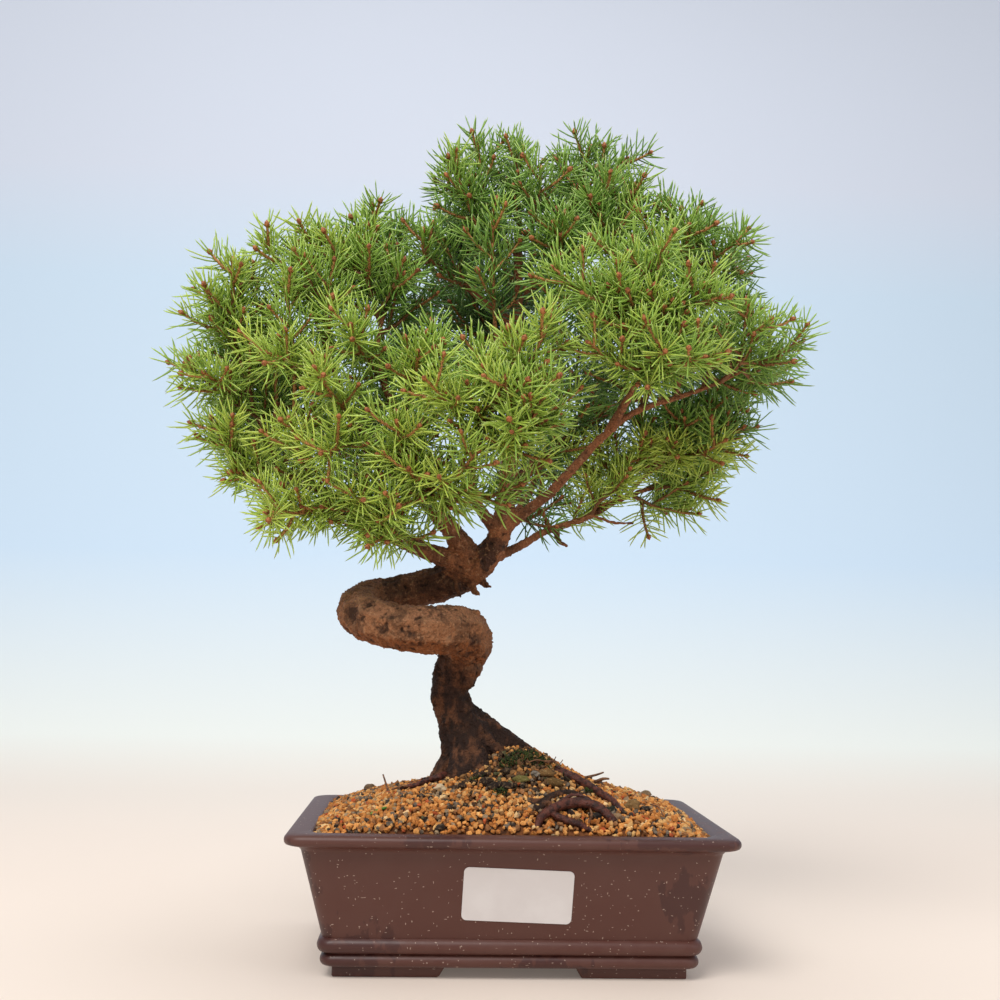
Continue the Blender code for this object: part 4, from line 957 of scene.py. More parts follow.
@dataclass(frozen=True)
class StoneGrains:
    """Baked clay and lava grains, each of its own colour."""

    dust: tuple = rgb(214, 178, 130)
    dark: tuple = rgb(60, 40, 28)

    def make(self) -> Look:
        """Makes the material."""
        made = Material("granules", roughness=0.85, specular_ior_level=0.25)
        made.shade = made.read("stone", "Color")
        made.paint(made.mottle(900.0, 0.5, 0.75), 0.3, self.dust)
        made.paint(made.effect(Effect.FLECKS, scale=1600.0, size=0.3, share=0.35), 0.5, self.dark)
        return made.close(1500.0, 0.5, 0.0004)


@dataclass(frozen=True)
class PlainSkin:
    """A finish of two colours in soft patches, with a crumbly surface."""

    name: str
    low: tuple
    high: tuple
    scale: float
    depth: float
    roughness: float

    def make(self) -> Look:
        """Makes the material."""
        made = Material(self.name, roughness=self.roughness, specular_ior_level=0.3)
        made.shade = made.blend(made.mottle(self.scale, 0.35, 0.65), self.low, self.high)
        return made.close(self.scale * 3, 0.4, self.depth)


SOIL_SKIN = PlainSkin("soil_bed", rgb(70, 42, 26), rgb(128, 78, 42), 300.0, 0.0008, 0.95)
MOSS_SKIN = PlainSkin("moss", rgb(34, 42, 20), rgb(72, 84, 36), 400.0, 0.0004, 0.9)
ROOT_SKIN = PlainSkin("root_skin", rgb(50, 26, 21), rgb(98, 52, 40), 420.0, 0.0008, 0.5)
DRY_SKIN = PlainSkin("dry_twig", rgb(74, 48, 34), rgb(132, 92, 64), 500.0, 0.0004, 0.8)
BLADE_SKIN = PlainSkin("green_blade", rgb(66, 112, 40), rgb(104, 150, 62), 300.0, 0.0001, 0.5)
LABEL_SKIN = PlainSkin("label_paper", rgb(218, 213, 212), rgb(224, 220, 219), 60.0, 0.00002, 0.38)


@dataclass
class Pot:
    """The rectangular pot: walls with a rounded lip and two ribs, L feet and drain holes.

    `outside` and `inside` are the walls' outline, as rows of inset and height.
    """

    length: float = 205.0
    width: float = 152.0
    corner: float = 6.5
    outside: tuple = (
        (20.5, 5.0), (17.4, 5.7), (16.4, 8.0), (17.2, 10.2), (18.4, 11.0), (16.0, 11.9),
        (15.0, 14.5), (15.7, 17.0), (17.0, 18.2), (16.2, 21.0), (7.9, 54.0), (6.9, 57.4),
        (5.2, 59.2), (2.4, 59.9), (0.6, 60.7), (0.0, 62.4), (0.5, 64.2), (1.9, 65.0),
    )
    inside: tuple = ((4.0, 65.3), (9.6, 65.2), (11.2, 64.8), (12.2, 63.6), (21.5, 16.0), (24.0, 13.0))
    profile_step: float = 1.1
    foot_inset: float = 22.0
    foot_long: float = 48.0
    foot_short: float = 38.0
    foot_band: float = 13.0
    foot_height: float = 5.0
    foot_sunk: float = 1.5
    foot_slope: float = 4.0
    drain_radius: float = 6.0
    drain_places: tuple = (-42.0, 42.0)

    def build_walls(self) -> Piece:
        """Extrudes the walls from the underside up, over the lip and down the inside."""
        outer = smooth_path([(i, h, 0.0) for i, h in self.outside], self.profile_step)[:, :2]
        rows = np.vstack([outer, self.inside])
        size = np.array((self.length, self.width))
        inset, height = rows[0]
        place = spot(0, 0, height)
        walls = primitive(
            bpy.ops.mesh.primitive_plane_add, (*(size - 2 * inset), 1.0), size=MM, location=place
        )
        round_corners(walls, self.corner)

        def raise_walls() -> None:
            """Extrudes ring after ring."""
            for (inset, height), (next_inset, next_height) in zip(rows, rows[1:]):
                lift(next_height - height)
                grow = (size - 2 * next_inset) / (size - 2 * inset)
                bpy.ops.transform.resize(value=(*grow, 1.0), center_override=place)

        edit(walls, "FACE", raise_walls)
        face_out(walls)
        return walls

    def build_foot(self, sign_x: int, sign_y: int) -> Piece:
        """Extrudes one L foot, longer at the top where its ends slope.

        Args:
            sign_x: Which side, 1 or -1.
            sign_y: Front, -1, or back, 1.

        Returns:
            The foot.
        """
        far = np.array((self.length / 2 - self.foot_inset, self.width / 2 - self.foot_inset))
        near = far - (self.foot_long, self.foot_short)
        inner = far - self.foot_band
        outline = np.array([
            (far[0], far[1]), (near[0], far[1]), (near[0], inner[1]),
            (inner[0], inner[1]), (inner[0], near[1]), (far[0], near[1]),
        ])
        outline = np.column_stack([outline * (sign_x, sign_y), np.zeros(6)])
        foot = mesh_piece("foot", outline, np.arange(6)[None], False)
        edit(foot, "VERT", partial(lift, self.foot_height + self.foot_sunk))
        points = points_of(foot)
        for axis, sign in ((0, sign_x), (1, sign_y)):
            ends = (points[:, 2] > 1.0) & (np.abs(points[:, axis] * sign - near[axis]) < 0.1)
            points[ends, axis] -= sign * self.foot_slope
        move_points(foot, points)
        face_out(foot)
        modify(foot, "BEVEL", width=0.9 * MM, segments=3)
        return foot

    def build(self, look: Look) -> Piece:
        """Builds and dresses the pot.

        Args:
            look: Its material.

        Returns:
            The pot.
        """
        walls = self.build_walls()
        for across in self.drain_places:
            drain = primitive(
                bpy.ops.mesh.primitive_cylinder_add,
                vertices=32,
                radius=self.drain_radius * MM,
                depth=20 * MM,
                location=spot(across, 0, self.foot_height),
            )
            modify(walls, "BOOLEAN", operation="DIFFERENCE", object=drain)
            bpy.data.objects.remove(drain)
        feet = [self.build_foot(x, y) for x in (-1, 1) for y in (-1, 1)]
        pot = join([walls, *feet], "pot_glazed")
        select_only(pot)
        bpy.ops.object.shade_smooth_by_angle(angle=math.radians(38))
        return finish_piece(pot, look, "glazed_brown", "pot")


@dataclass
class Label:
    """A blank sticker with round corners on the pot's front wall, which leans."""

    length: float = 49.5
    height: float = 25.0
    corner: float = 2.4
    thickness: float = 0.35
    place: tuple = (2.2, 38.4)
    turn: float = math.radians(-2.0)
    wall_low: tuple = (16.2, 21.0)
    wall_high: tuple = (7.9, 54.0)
    pot_width: float = 152.0

    def build(self, look: Look) -> Piece:
        """Builds and dresses the sticker.

        Args:
            look: Its material.

        Returns:
            The sticker.
        """
        (low_inset, low), (high_inset, high) = self.wall_low, self.wall_high
        lean = math.atan2(low_inset - high_inset, high - low)
        inset = np.interp(self.place[1], (low, high), (low_inset, high_inset))
        size = (self.length, self.height, 1.0)
        label = primitive(bpy.ops.mesh.primitive_plane_add, size, size=MM)
        round_corners(label, self.corner)
        modify(label, "SOLIDIFY", thickness=self.thickness * MM, offset=1.0)
        modify(label, "BEVEL", width=0.08 * MM, segments=2)
        place = spot(self.place[0], -self.pot_width / 2 + inset, self.place[1])
        upright = Matrix.Rotation(math.pi / 2 + lean, 4, "X") @ Matrix.Rotation(self.turn, 4, "Z")
        label.data.transform(Matrix.Translation(place) @ upright)
        join([label], "label_blank")
        face_out(label)
        return finish_piece(label, look, "label_paper", "label")


def mound(x: Any, y: Any) -> Any:
    """The height of the soil without its granules, at places in the pot.

    Args:
        x: How far right of the pot's middle.
        y: How far behind it.

    Returns:
        The height, or one for each place.
    """
    half_x, half_y = MOUND_HALF
    dome = np.clip(1 - (x / half_x) ** 2, 0, 1) * np.clip(1 - (y / half_y) ** 2, 0, 1)
    knoll = np.exp(-(((x - KNOLL_PLACE) / KNOLL_HALF[0]) ** 2) - (y / KNOLL_HALF[1]) ** 2)
    return MOUND_EDGE + MOUND_RISE * dome**0.6 + KNOLL_RISE * knoll


@dataclass
class Soil:
    """The soil bed, with its cover of baked clay granules and a few larger stones.

    The palettes hold colours and their weights, and `large` the stones' x, y, radius and colour.
    `foot` is the oval round the trunk where the granules are dark: its middle and half sizes.
    """

    depth: float = 20.0
    base_share: float = 0.93
    stray: float = 0.9
    edge: float = 0.4
    big_share: float = 0.07
    big_size: float = 1.3
    tint: tuple = (0.8, 1.18)

    half_x: float = 90.0
    half_y: float = 63.5
    corner: float = 6.0
    base: float = 40.0
    sink: float = 1.6
    cell: float = 1.92
    layer: float = 0.55
    sizes: tuple = (0.95, 1.75)
    masters: int = 7
    foot: tuple = (2.0, -16.0, 30.0, 24.0)
    palette: tuple = (
        (rgb(222, 154, 84), 23), (rgb(200, 128, 62), 22), (rgb(222, 172, 108), 13),
        (rgb(178, 110, 52), 12), (rgb(144, 96, 58), 10), (rgb(150, 126, 98), 7),
        (rgb(106, 94, 82), 6), (rgb(60, 50, 44), 6), (rgb(176, 82, 42), 3), (rgb(232, 194, 140), 2),
    )
    dark_palette: tuple = (
        (rgb(70, 50, 34), 24), (rgb(98, 70, 44), 22), (rgb(138, 98, 58), 18), (rgb(176, 124, 70), 14),
        (rgb(52, 42, 32), 12), (rgb(86, 84, 56), 6), (rgb(200, 150, 92), 8),
    )
    large: tuple = (
        (5.1, -28.1, 2.8, rgb(104, 96, 50)), (18.2, -21.3, 2.9, rgb(112, 82, 46)),
        (21.5, -27.0, 3.0, rgb(96, 72, 38)), (12.2, -22.5, 1.9, rgb(122, 114, 104)),
        (57.0, -40.0, 3.3, rgb(124, 94, 56)), (63.5, -38.5, 2.2, rgb(44, 36, 32)),
        (28.7, -38.0, 2.1, rgb(196, 168, 130)), (48.0, -53.5, 2.2, rgb(140, 112, 84)),
        (-11.2, -27.8, 2.8, rgb(40, 27, 20)), (-6.6, -33.0, 3.1, rgb(34, 24, 19)),
        (-1.4, -33.0, 2.8, rgb(38, 27, 21)), (-23.1, -27.5, 2.2, rgb(46, 32, 24)),
        (-14.3, -20.7, 2.4, rgb(44, 32, 24)), (-26.4, -29.0, 1.9, rgb(60, 42, 30)),
        (-33.6, -26.5, 2.4, rgb(206, 184, 150)), (-2.0, -22.0, 2.4, rgb(48, 36, 26)),
        (38.0, -54.5, 2.4, rgb(34, 28, 26)), (46.0, -47.0, 2.2, rgb(30, 34, 26)),
        (-70.0, 30.0, 2.6, rgb(120, 98, 76)), (40.0, 44.0, 2.8, rgb(112, 90, 64)),
        (-20.0, 48.0, 2.4, rgb(90, 76, 64)), (72.0, 14.0, 2.4, rgb(128, 104, 78)),
    )

    def build_bed(self, look: Look) -> Piece:
        """Builds the dark bed under the granules.

        Args:
            look: Its material.

        Returns:
            The bed.
        """
        grid = bpy.ops.mesh.primitive_grid_add
        bed = primitive(grid, x_subdivisions=60, y_subdivisions=44, size=2.0)
        x, y = (rows_of(bed.data.vertices, "co")[:, :2] * (self.half_x, self.half_y)).T
        move_points(bed, np.column_stack([x, y, mound(x, y) - self.sink]))
        flat = (self.base_share, self.base_share, 0.0)
        base = (0, 0, self.base * MM)
        narrow = partial(bpy.ops.transform.resize, value=flat, center_override=base)
        rim, close = bpy.ops.mesh.region_to_loop, bpy.ops.mesh.edge_face_add
        edit(bed, "VERT", rim, partial(lift, -self.depth), narrow, close)
        join([bed], "soil_bed")
        face_out(bed)
        bed.data.shade_smooth()
        return finish_piece(bed, look, "granules", "soil")

    @staticmethod
    def grain(index: int) -> tuple:
        """One angular grain of about a millimetre's radius.

        Args:
            index: Which of the grains.

        Returns:
            Its points and its faces.
        """
        draw = random.Random(SEED * 100 + index)
        ball = primitive(bpy.ops.mesh.primitive_ico_sphere_add, subdivisions=1, radius=1.0)
        points = rows_of(ball.data.vertices, "co")
        faces = np.array([face.vertices[:] for face in ball.data.polygons])
        bpy.data.objects.remove(ball)
        swell = np.array([draw.uniform(0.62, 1.28) for _ in points])
        flat = [draw.uniform(*span) for span in ((0.85, 1.25), (0.8, 1.1), (0.65, 0.95))]
        return points * swell[:, None] * flat, faces

    @staticmethod
    def pick(palette: tuple, count: int, draw: np.random.Generator) -> np.ndarray:
        """Rows of colours, picked from a palette of (colour, weight)."""
        colors, weights = np.array([color for color, _ in palette]), np.array([w for _, w in palette])
        return colors[draw.choice(len(colors), count, p=weights / weights.sum())]

    def build_cover(self, look: Look) -> Piece:
        """Builds the granules.

        Args:
            look: Its material.

        Returns:
            The granules, as one piece.
        """
        draw = np.random.default_rng(SEED)
        half = np.array((self.half_x, self.half_y))
        grids = np.meshgrid(*[np.arange(-side + self.edge, side, self.cell) for side in half])
        places = np.column_stack(
            [grid.ravel() + draw.uniform(-self.stray, self.stray, grid.size) for grid in grids]
        )
        arm = np.abs(places) - half
        inner = arm + self.corner
        keep = (arm < 0).all(axis=1)
        keep &= (inner.min(axis=1) < 0) | (np.linalg.norm(inner, axis=1) < self.corner)
        x, y = places[keep].T
        count = len(x)
        radius = draw.uniform(*self.sizes, count)
        radius *= np.where(draw.random(count) < self.big_share, self.big_size, 1.0)
        places = np.column_stack([x, y, mound(x, y) + draw.uniform(-1.0, 1.0, count) * self.layer])
        x0, y0, wide, deep = self.foot
        near = np.exp(-(((x - x0) / wide) ** 2) - ((y - y0) / deep) ** 2)
        dark = draw.random((count, 1)) < 0.9 * near[:, None]
        darks, lights = [self.pick(colors, count, draw) for colors in (self.dark_palette, self.palette)]
        own = np.where(dark, darks, lights) * draw.uniform(*self.tint, (count, 1))
        own[:, 3] = 1.0
        turns, _ = np.linalg.qr(draw.normal(size=(count, 3, 3)))
        turns[np.linalg.det(turns) < 0] *= -1
        frames = turns * radius[:, None, None]
        kinds = draw.integers(0, self.masters, count)
        points, faces, tints, start = [], [], [], 0
        for kind in range(self.masters):
            chosen = kinds == kind
            shape = self.grain(kind)
            made, made_faces = stamp(shape, frames[chosen], places[chosen])
            points.append(made)
            faces.append(made_faces + start)
            tints.append(np.repeat(own[chosen], len(shape[0]), axis=0))
            start += len(made)
        cover = mesh_piece("granules_cover", np.vstack(points), np.vstack(faces), False)
        write_attribute(cover, "stone", np.vstack(tints))
        return finish_piece(cover, look, "granules")

    def build_stones(self, look: Look) -> Piece:
        """Builds the larger stones.

        Args:
            look: Its material.

        Returns:
            The stones, as one piece.
        """
        stones = []
        for index, (x, y, radius, color) in enumerate(self.large):
            draw = random.Random(SEED + index)
            ball = bpy.ops.mesh.primitive_ico_sphere_add
            stone = primitive(ball, subdivisions=3, radius=radius * MM)
            shift = Vector([draw.uniform(-50, 50) for _ in range(3)])
            for vert in stone.data.vertices:
                bump = noise.fractal(vert.co / (radius * MM) * 1.1 + shift, 1.0, 2.0, 3)
                vert.co *= 1 + 0.5 * bump
            place = spot(x, y, mound(x, y) + radius / 2)
            flatter = Matrix.Diagonal((1.2, 0.9, 0.75, 1.0))
            stone.data.transform(Matrix.Translation(place) @ flatter)
            write_attribute(stone, "stone", np.tile(color, (len(stone.data.vertices), 1)))
            stones.append(stone)
        made = join(stones, "stones_large")
        made.data.shade_smooth()
        return finish_piece(made, look, "granules")


@dataclass
class Trunk:
    """The corkscrew trunk with its roots and boughs, as one skin of bark.

    `ages` runs along the trunk: 1 is the dark foot, 0.6 the brown loop and 0 a red-brown bough.
    `slim` makes boughs thinner. `bumps` are balls, and `flares` and `stubs` short tubes under the
    skin. `scars` are places with a radius, a height of relief and a darkness.
    """

    voxel: float = 0.85
    triangles: int = 185000
    step: float = 2.0
    ages: tuple = (
        1.0, 1.0, 0.98, 0.94, 0.88, 0.8, 0.68, 0.6, 0.6, 0.6, 0.6, 0.58, 0.5, 0.44, 0.42, 0.4, 0.38,
        0.3, 0.2, 0.1, 0.0, 0.0, 0.0, 0.0, 0.0, 0.0,
    )
    slim: tuple = (
        ("bough_left", 0.8), ("bough_middle", 0.86), ("bough_right", 0.66), ("bough_right_low", 0.7),
        ("bough_right_back", 0.8),
    )
    bumps: tuple = (
        (-19, 137, 1, 5.4), (-21, 131, 2, 4.8), (-80, 160, -8, 5.2), (-82, 166, -4, 4.4),
        (-76, 158, -16, 4.6), (-60, 167, -24, 3.4), (-36, 166, -28, 3.0), (-30, 112, 0, 4.0),
        (-36, 121, 4, 4.0), (-50, 178, 18, 4.2), (-35, 181, 16, 4.4), (-17.2, 165.4, -16, 2.2),
    )
    flares: tuple = (
        ((-22, 112, 3, 8.0), (-12, 102, 1, 6.0), (-1, 94, 0, 4.6), (10, 86, -4, 3.6)),
        ((-24, 106, 2, 7.5), (-22, 94, -3, 7.5), (-24, 82, -8, 7.0), (-26, 70, -12, 6.5)),
    )
    stubs: tuple = (
        ((-20, 180, 6, 2.6), (-18, 176, 2, 1.7), (-15.5, 174.5, 0, 0.8)),
        ((-15, 182, 8, 2.6), (-12, 179, 4, 1.5), (-9.5, 178.6, 3, 0.7)),
        ((-28, 180, 10, 2.6), (-27, 175.5, 5, 1.5), (-25, 173.5, 3, 0.7)),
        ((23, 208, 27, 1.9), (24, 203, 25, 1.5), (29, 200, 24, 1.0)),
        ((20, 209, 25, 1.7), (17, 214, 22, 1.3), (16, 220, 20, 0.8)),
        ((33, 212, 26, 1.3), (41, 216, 24, 1.1), (52, 213, 22, 1.0), (63, 213, 20, 0.9)),
    )
    scars: tuple = (
        (-82, 170, -9, 3.4, 1.3, 0.4), (-70.5, 167.5, -25, 3.8, -0.9, 0.9), (-63, 159, -38, 3.4, 0.4, 0.5),
        (-30, 150, -34, 3.0, 0.4, 0.5), (-47, 166, -36, 2.6, 0.4, 0.4), (-20, 146, -14, 4.0, -0.6, 0.8),
        (-76, 163, -20, 5.0, -0.9, 1.2), (-80, 155, -14, 4.4, -0.6, 1.1), (-74, 158, -24, 4.4, -0.4, 1.0),
        (-64, 156, -34, 3.4, -0.4, 0.9), (-41, 164, -36, 2.6, -0.3, 0.7), (-19, 152, -20, 4.6, -0.5, 0.9),
        (-35, 139, 0, 6.0, 0.0, 0.9), (-22, 140, -4, 6.5, 0.0, 0.8), (-36, 128, 2, 6.0, 0.0, 0.7),
        (-40, 178, 14, 7.0, 0.0, 0.9), (-55, 174, 14, 6.0, 0.0, 0.6), (-28, 176, 10, 8.0, 0.0, 1.0),
        (-25, 187, 8, 4.0, 0.0, 0.8), (-18, 104, 2, 10.0, 0.0, 0.7), (-4, 99, 0, 8.0, 0.0, 0.9),
        (-33, 184, 16, 4.0, 0.0, 0.6), (-31, 132, 0, 4.0, 0.0, 0.8), (-20, 122, 0, 5.0, 0.0, 0.7),
        (-46, 160, -38, 2.4, 0.3, 0.7), (-55, 163, -38, 2.2, -0.3, 0.8), (-26, 162, -30, 2.4, 0.3, 0.6),
    )

    def paths(self) -> dict[str, np.ndarray]:
        """The centreline of each piece of wood, as rows of x, y, z, radius and age."""
        made = {}
        for name, rows in WOOD.items():
            plain = [1.0 if name.startswith("root") else 0.0] * len(rows)
            ages = self.ages if name == "trunk" else plain
            share = dict(self.slim).get(name, 1.0)
            places = [(*row[:3], row[3] * share, age) for row, age in zip(rows, ages)]
            made[name] = seen_path(places, self.step)
        return made

    def skin(self, paths: dict[str, np.ndarray]) -> Piece:
        """Joins the wood's centrelines and bumps under one skin, which is still smooth.

        Args:
            paths: The wood's centrelines, with their radii.

        Returns:
            The skin.
        """
        extra = [seen_path(rows, self.step) for rows in (*self.flares, *self.stubs)]
        wood = [tubes("wood", [rows], 8) for rows in (*paths.values(), *extra)]
        ball = bpy.ops.mesh.primitive_ico_sphere_add
        for *bump, radius in self.bumps:
            place = spot(*seen(*bump))
            wood.append(primitive(ball, subdivisions=2, radius=radius * MM, location=place))
        skin = join(wood, "trunk_bark")
        modify(skin, "REMESH", mode="VOXEL", voxel_size=self.voxel * MM, use_smooth_shade=True)
        modify(skin, "SMOOTH", factor=0.5, iterations=3)
        return skin

    @staticmethod
    def rough_bark(point: Vector, radius: float) -> float:
        """How far the bark stands out at a point.

        Args:
            point: The point.
            radius: The wood's radius there.

        Returns:
            The height of the relief, in millimetres.
        """
        size = min(1.0, radius / 10.0)
        low = noise.fractal(point / (6.0 * size + 1.5), 1.0, 2.0, 4)
        fine = noise.fractal(point / 1.5, 1.0, 2.0, 2)
        streak = noise.noise(Vector((point.x / 2.6, point.y / 2.6, point.z / 9.0)))
        foot = min(1.0, max(0.0, (135.0 - point.z) / 20.0))
        pits = max(0.0, noise.noise(point / 2.2 + Vector((9, 4, 7))) - 0.22)
        warts = max(0.0, noise.noise(point / 1.5 + Vector((1, 8, 3))) - 0.3) * (1.0 - foot)
        relief = 0.75 * low + 0.5 * fine - 2.2 * pits + 1.6 * warts
        relief += foot * 1.1 * (streak - 0.3 * abs(low))
        return relief * (0.25 + 0.75 * size)

    def build(self, look: Look) -> Piece:
        """Builds and dresses the trunk.

        Args:
            look: Its material.

        Returns:
            The trunk.
        """
        paths = self.paths()
        skin = self.skin(paths)
        rows = np.vstack(list(paths.values()))
        tree = KDTree(len(rows))
        for index, row in enumerate(rows):
            tree.insert(row[:3], index)
        tree.balance()
        points, normals = points_of(skin), rows_of(skin.data.vertex_normals, "vector")
        near = rows[[tree.find(point)[1] for point in points]]
        relief = np.array([self.rough_bark(Vector(p), row[3]) for p, row in zip(points, near)])
        stain = np.zeros(len(points))
        for *scar, radius, height, dark in self.scars:
            middle = points[np.linalg.norm(points - np.array(seen(*scar)), axis=1).argmin()]
            off = np.linalg.norm(points - middle, axis=1) / radius
            relief += height * (np.exp(-((off / 0.8) ** 2)) - 0.5 * np.exp(-((off - 1.25) ** 2) * 7))
            stain = np.maximum(stain, dark * np.exp(-((off / 1.25) ** 2)))
        move_points(skin, points + normals * relief[:, None])
        write_attribute(skin, "age", near[:, 4])
        write_attribute(skin, "stain", stain)
        # How far each point faces up, which sets the painted light and shade on the bark.
        write_attribute(skin, "top", normals[:, 2] * 0.5 + 0.5)
        # The relief from 0 to 1; where it is low the bark gets painted shade.
        write_attribute(skin, "dent", np.clip(0.5 + relief * 0.45, 0, 1))
        modify(skin, "DECIMATE", ratio=min(1.0, self.triangles / triangles(skin)))
        skin.data.shade_smooth()
        return finish_piece(skin, look, "bark", "trunk")


def painted_shade_at(point: np.ndarray) -> float:
    """Painted light and shade on the green at a place: light in front on the left, deep behind and inside.

    Args:
        point: The place.

    Returns:
        0 for yellow-green up to 1 for deep green.
    """
    x, y, z = point
    front = np.interp(y, (-80.0, -20.0, 60.0), (0.0, 0.22, 0.5))
    left = np.interp(x, (-120.0, -30.0, 120.0), (0.0, 0.14, 0.2))
    low = np.interp(z, (215.0, 260.0, 330.0), (-0.06, 0.04, 0.0)) if x < 0 else 0.05
    inside = 0.85 * math.exp(-(((x + 8) / 44) ** 2) - (((y - 5) / 38) ** 2) - (((z - 320) / 48) ** 2))
    # Painted light: the low right of the crown lies in shadow and is lightened.
    below = 0.5 if x > 30 and z < 262 else 0.0
    return float(front + left + low + inside - below)


def square_to(tangents: np.ndarray) -> tuple[np.ndarray, np.ndarray]:
    """Two directions square to each of the given ones.

    Args:
        tangents: The given ones, as rows.

    Returns:
        Both directions, as rows.
    """
    steady = np.where(np.abs(tangents[:, 2:]) < 0.9, [[0.0, 0.0, 1.0]], [[1.0, 0.0, 0.0]])
    side = unit(np.cross(tangents, steady))
    return side, np.cross(side, tangents)


@dataclass
class Shoot:
    """One twig: its path, its radius at both ends, and where its needles start."""

    path: np.ndarray
    foot: float
    tip: float
    bare: float

    def tube(self) -> np.ndarray:
        """Rows of x, y, z and radius, a few millimetres apart."""
        along = lengths_along(self.path)
        wanted = np.linspace(0, along[-1], max(3, round(along[-1] / 3.2)))
        radii = np.linspace(self.foot, self.tip, len(wanted))
        return np.column_stack([sampled(self.path, along, wanted), radii])


NEEDLE = spindle(((0.0, 0.75), (0.4, 1.0), (0.85, 0.9)), 3, True)
BUD = spindle(((0.0, 0.26), (0.3, 0.42), (0.65, 0.33)), 6, False)


@dataclass
class Crown:
    """The needled sprays: stems and side shoots with buds, and needles all round them."""

    path_step: float = 1.5
    stem_foot: float = 1.3
    stem_tip: float = 0.8
    side_foot: float = 0.95
    side_tip: float = 0.65
    side_gap: float = 8.5
    side_length: tuple = (17.0, 27.0)
    side_taper: float = 0.4
    side_rise: float = 0.3
    needled: float = 50.0
    density: float = 1.5
    needle_length: tuple = (12.5, 16.8)
    needle_thick: float = 0.43
    needle_rise: float = 0.16
    lean: tuple = (1.32, 0.85)
    bend: float = 0.2
    bud_size: tuple = (2.9, 3.8)
    tip_short: float = 0.42
    fill_least: float = 30.0
    fill_group: int = 8

    def side_shoot(self, place: np.ndarray, tangent: np.ndarray, out: np.ndarray, length: float) -> Shoot:
        """One side shoot, which leans forward off its stem and curves up.

        Args:
            place: Where it starts.
            tangent: The stem's direction there.
            out: The direction square to the stem that it grows to.
            length: Its length.

        Returns:
            The shoot.
        """
        start = unit(tangent * 0.55 + out)
        later = unit(tangent * 0.75 + out * 0.8 + np.array((0, 0, self.side_rise)))
        steps = np.linspace(0, 1, 7)[:, None]
        path = place + length * (start * (steps - 0.5 * steps**2) + later * 0.5 * steps**2)
        return Shoot(path, self.side_foot, self.side_tip, 1.0)

    def grow(self, path: np.ndarray, draw: random.Random) -> list[Shoot]:
        """A stem and its side shoots.

        Args:
            path: The stem's points, from the wood out.
            draw: The spray's own chance.

        Returns:
            The shoots, the stem first.
        """
        along = lengths_along(path)
        length = along[-1]
        bare = max(4.0, length - self.needled)
        shoots = [Shoot(path, self.stem_foot, self.stem_tip, bare)]
        tangents = unit(np.gradient(path, axis=0))
        sides, ups = square_to(tangents)
        turn = draw.uniform(0, math.tau)
        place = bare + 2.0
        while place < length - 2.0:
            at = min(int(np.searchsorted(along, place)), len(path) - 1)
            out = sides[at] * math.cos(turn) + ups[at] * math.sin(turn)
            if out[2] < -0.55:
                out = unit(out + np.array((0, 0, 0.5)))
            share = (place - bare) / max(length - bare, 1.0)
            size = draw.uniform(*self.side_length) * (1 - self.side_taper * share)
            shoots.append(self.side_shoot(path[at], tangents[at], out, size))
            turn += GOLDEN + draw.uniform(-0.3, 0.3)
            place += self.side_gap * draw.uniform(0.75, 1.25) * (1 - 0.35 * share)
        return shoots

    def needles_on(self, shoot: Shoot, shade_and_tone: float, draw: np.random.Generator) -> tuple:
        """Where the needles of one shoot stand.

        Args:
            shoot: The shoot.
            shade_and_tone: How deep their green is, mostly painted shade by where the shoot is.
            draw: The spray's own chance.

        Returns:
            Their frames, places and tones.
        """
        along = lengths_along(shoot.path)
        count = max(8, int((along[-1] - shoot.bare) * self.density))
        ranks = (np.arange(count) + draw.uniform(0.2, 0.8, count)) / count
        wanted = shoot.bare + ranks * (along[-1] - shoot.bare)
        tangents = unit(sampled(unit(np.gradient(shoot.path, axis=0)), along, wanted))
        sides, ups = square_to(tangents)
        turns = np.arange(count) * GOLDEN + draw.normal(0, 0.25, count)
        out = sides * np.cos(turns)[:, None] + ups * np.sin(turns)[:, None]
        lean = self.lean[0] + (self.lean[1] - self.lean[0]) * ranks**2 + draw.normal(0, 0.08, count)
        aim = tangents * np.cos(lean)[:, None] + out * np.sin(lean)[:, None]
        aim = unit(aim + np.array((0, 0, self.needle_rise)) + draw.normal(0, 0.035, (count, 3)))
        length = draw.uniform(*self.needle_length, count)
        near_tip = np.clip((ranks - 0.75) / 0.25, 0, 1)
        length *= 1 - self.tip_short * near_tip - 0.18 * np.clip((0.15 - ranks) / 0.15, 0, 1)
        inward = unit(tangents - aim * np.sum(tangents * aim, axis=1, keepdims=True))
        thick = self.needle_thick * draw.uniform(0.88, 1.12, count)[:, None]
        curl = (length * self.bend * draw.uniform(0.4, 1.5, count))[:, None]
        entries = [inward * thick, np.cross(aim, inward) * thick, aim * length[:, None], inward * curl]
        shades_and_tones = np.clip(shade_and_tone + 0.1 * (0.5 - ranks) + draw.normal(0, 0.05, count), 0, 1)
        return np.stack(entries, axis=1), sampled(shoot.path, along, wanted), shades_and_tones

    def build_needles(self, name: str, shoots: list[Shoot], look: Look, *nodes: str) -> Piece:
        """Builds the needles of a spray.

        Args:
            name: The spray's name.
            shoots: Its shoots.
            look: Their material.
            nodes: The solids they stand for.

        Returns:
            The piece.
        """
        draw = np.random.default_rng([SEED, sum(map(ord, name))])
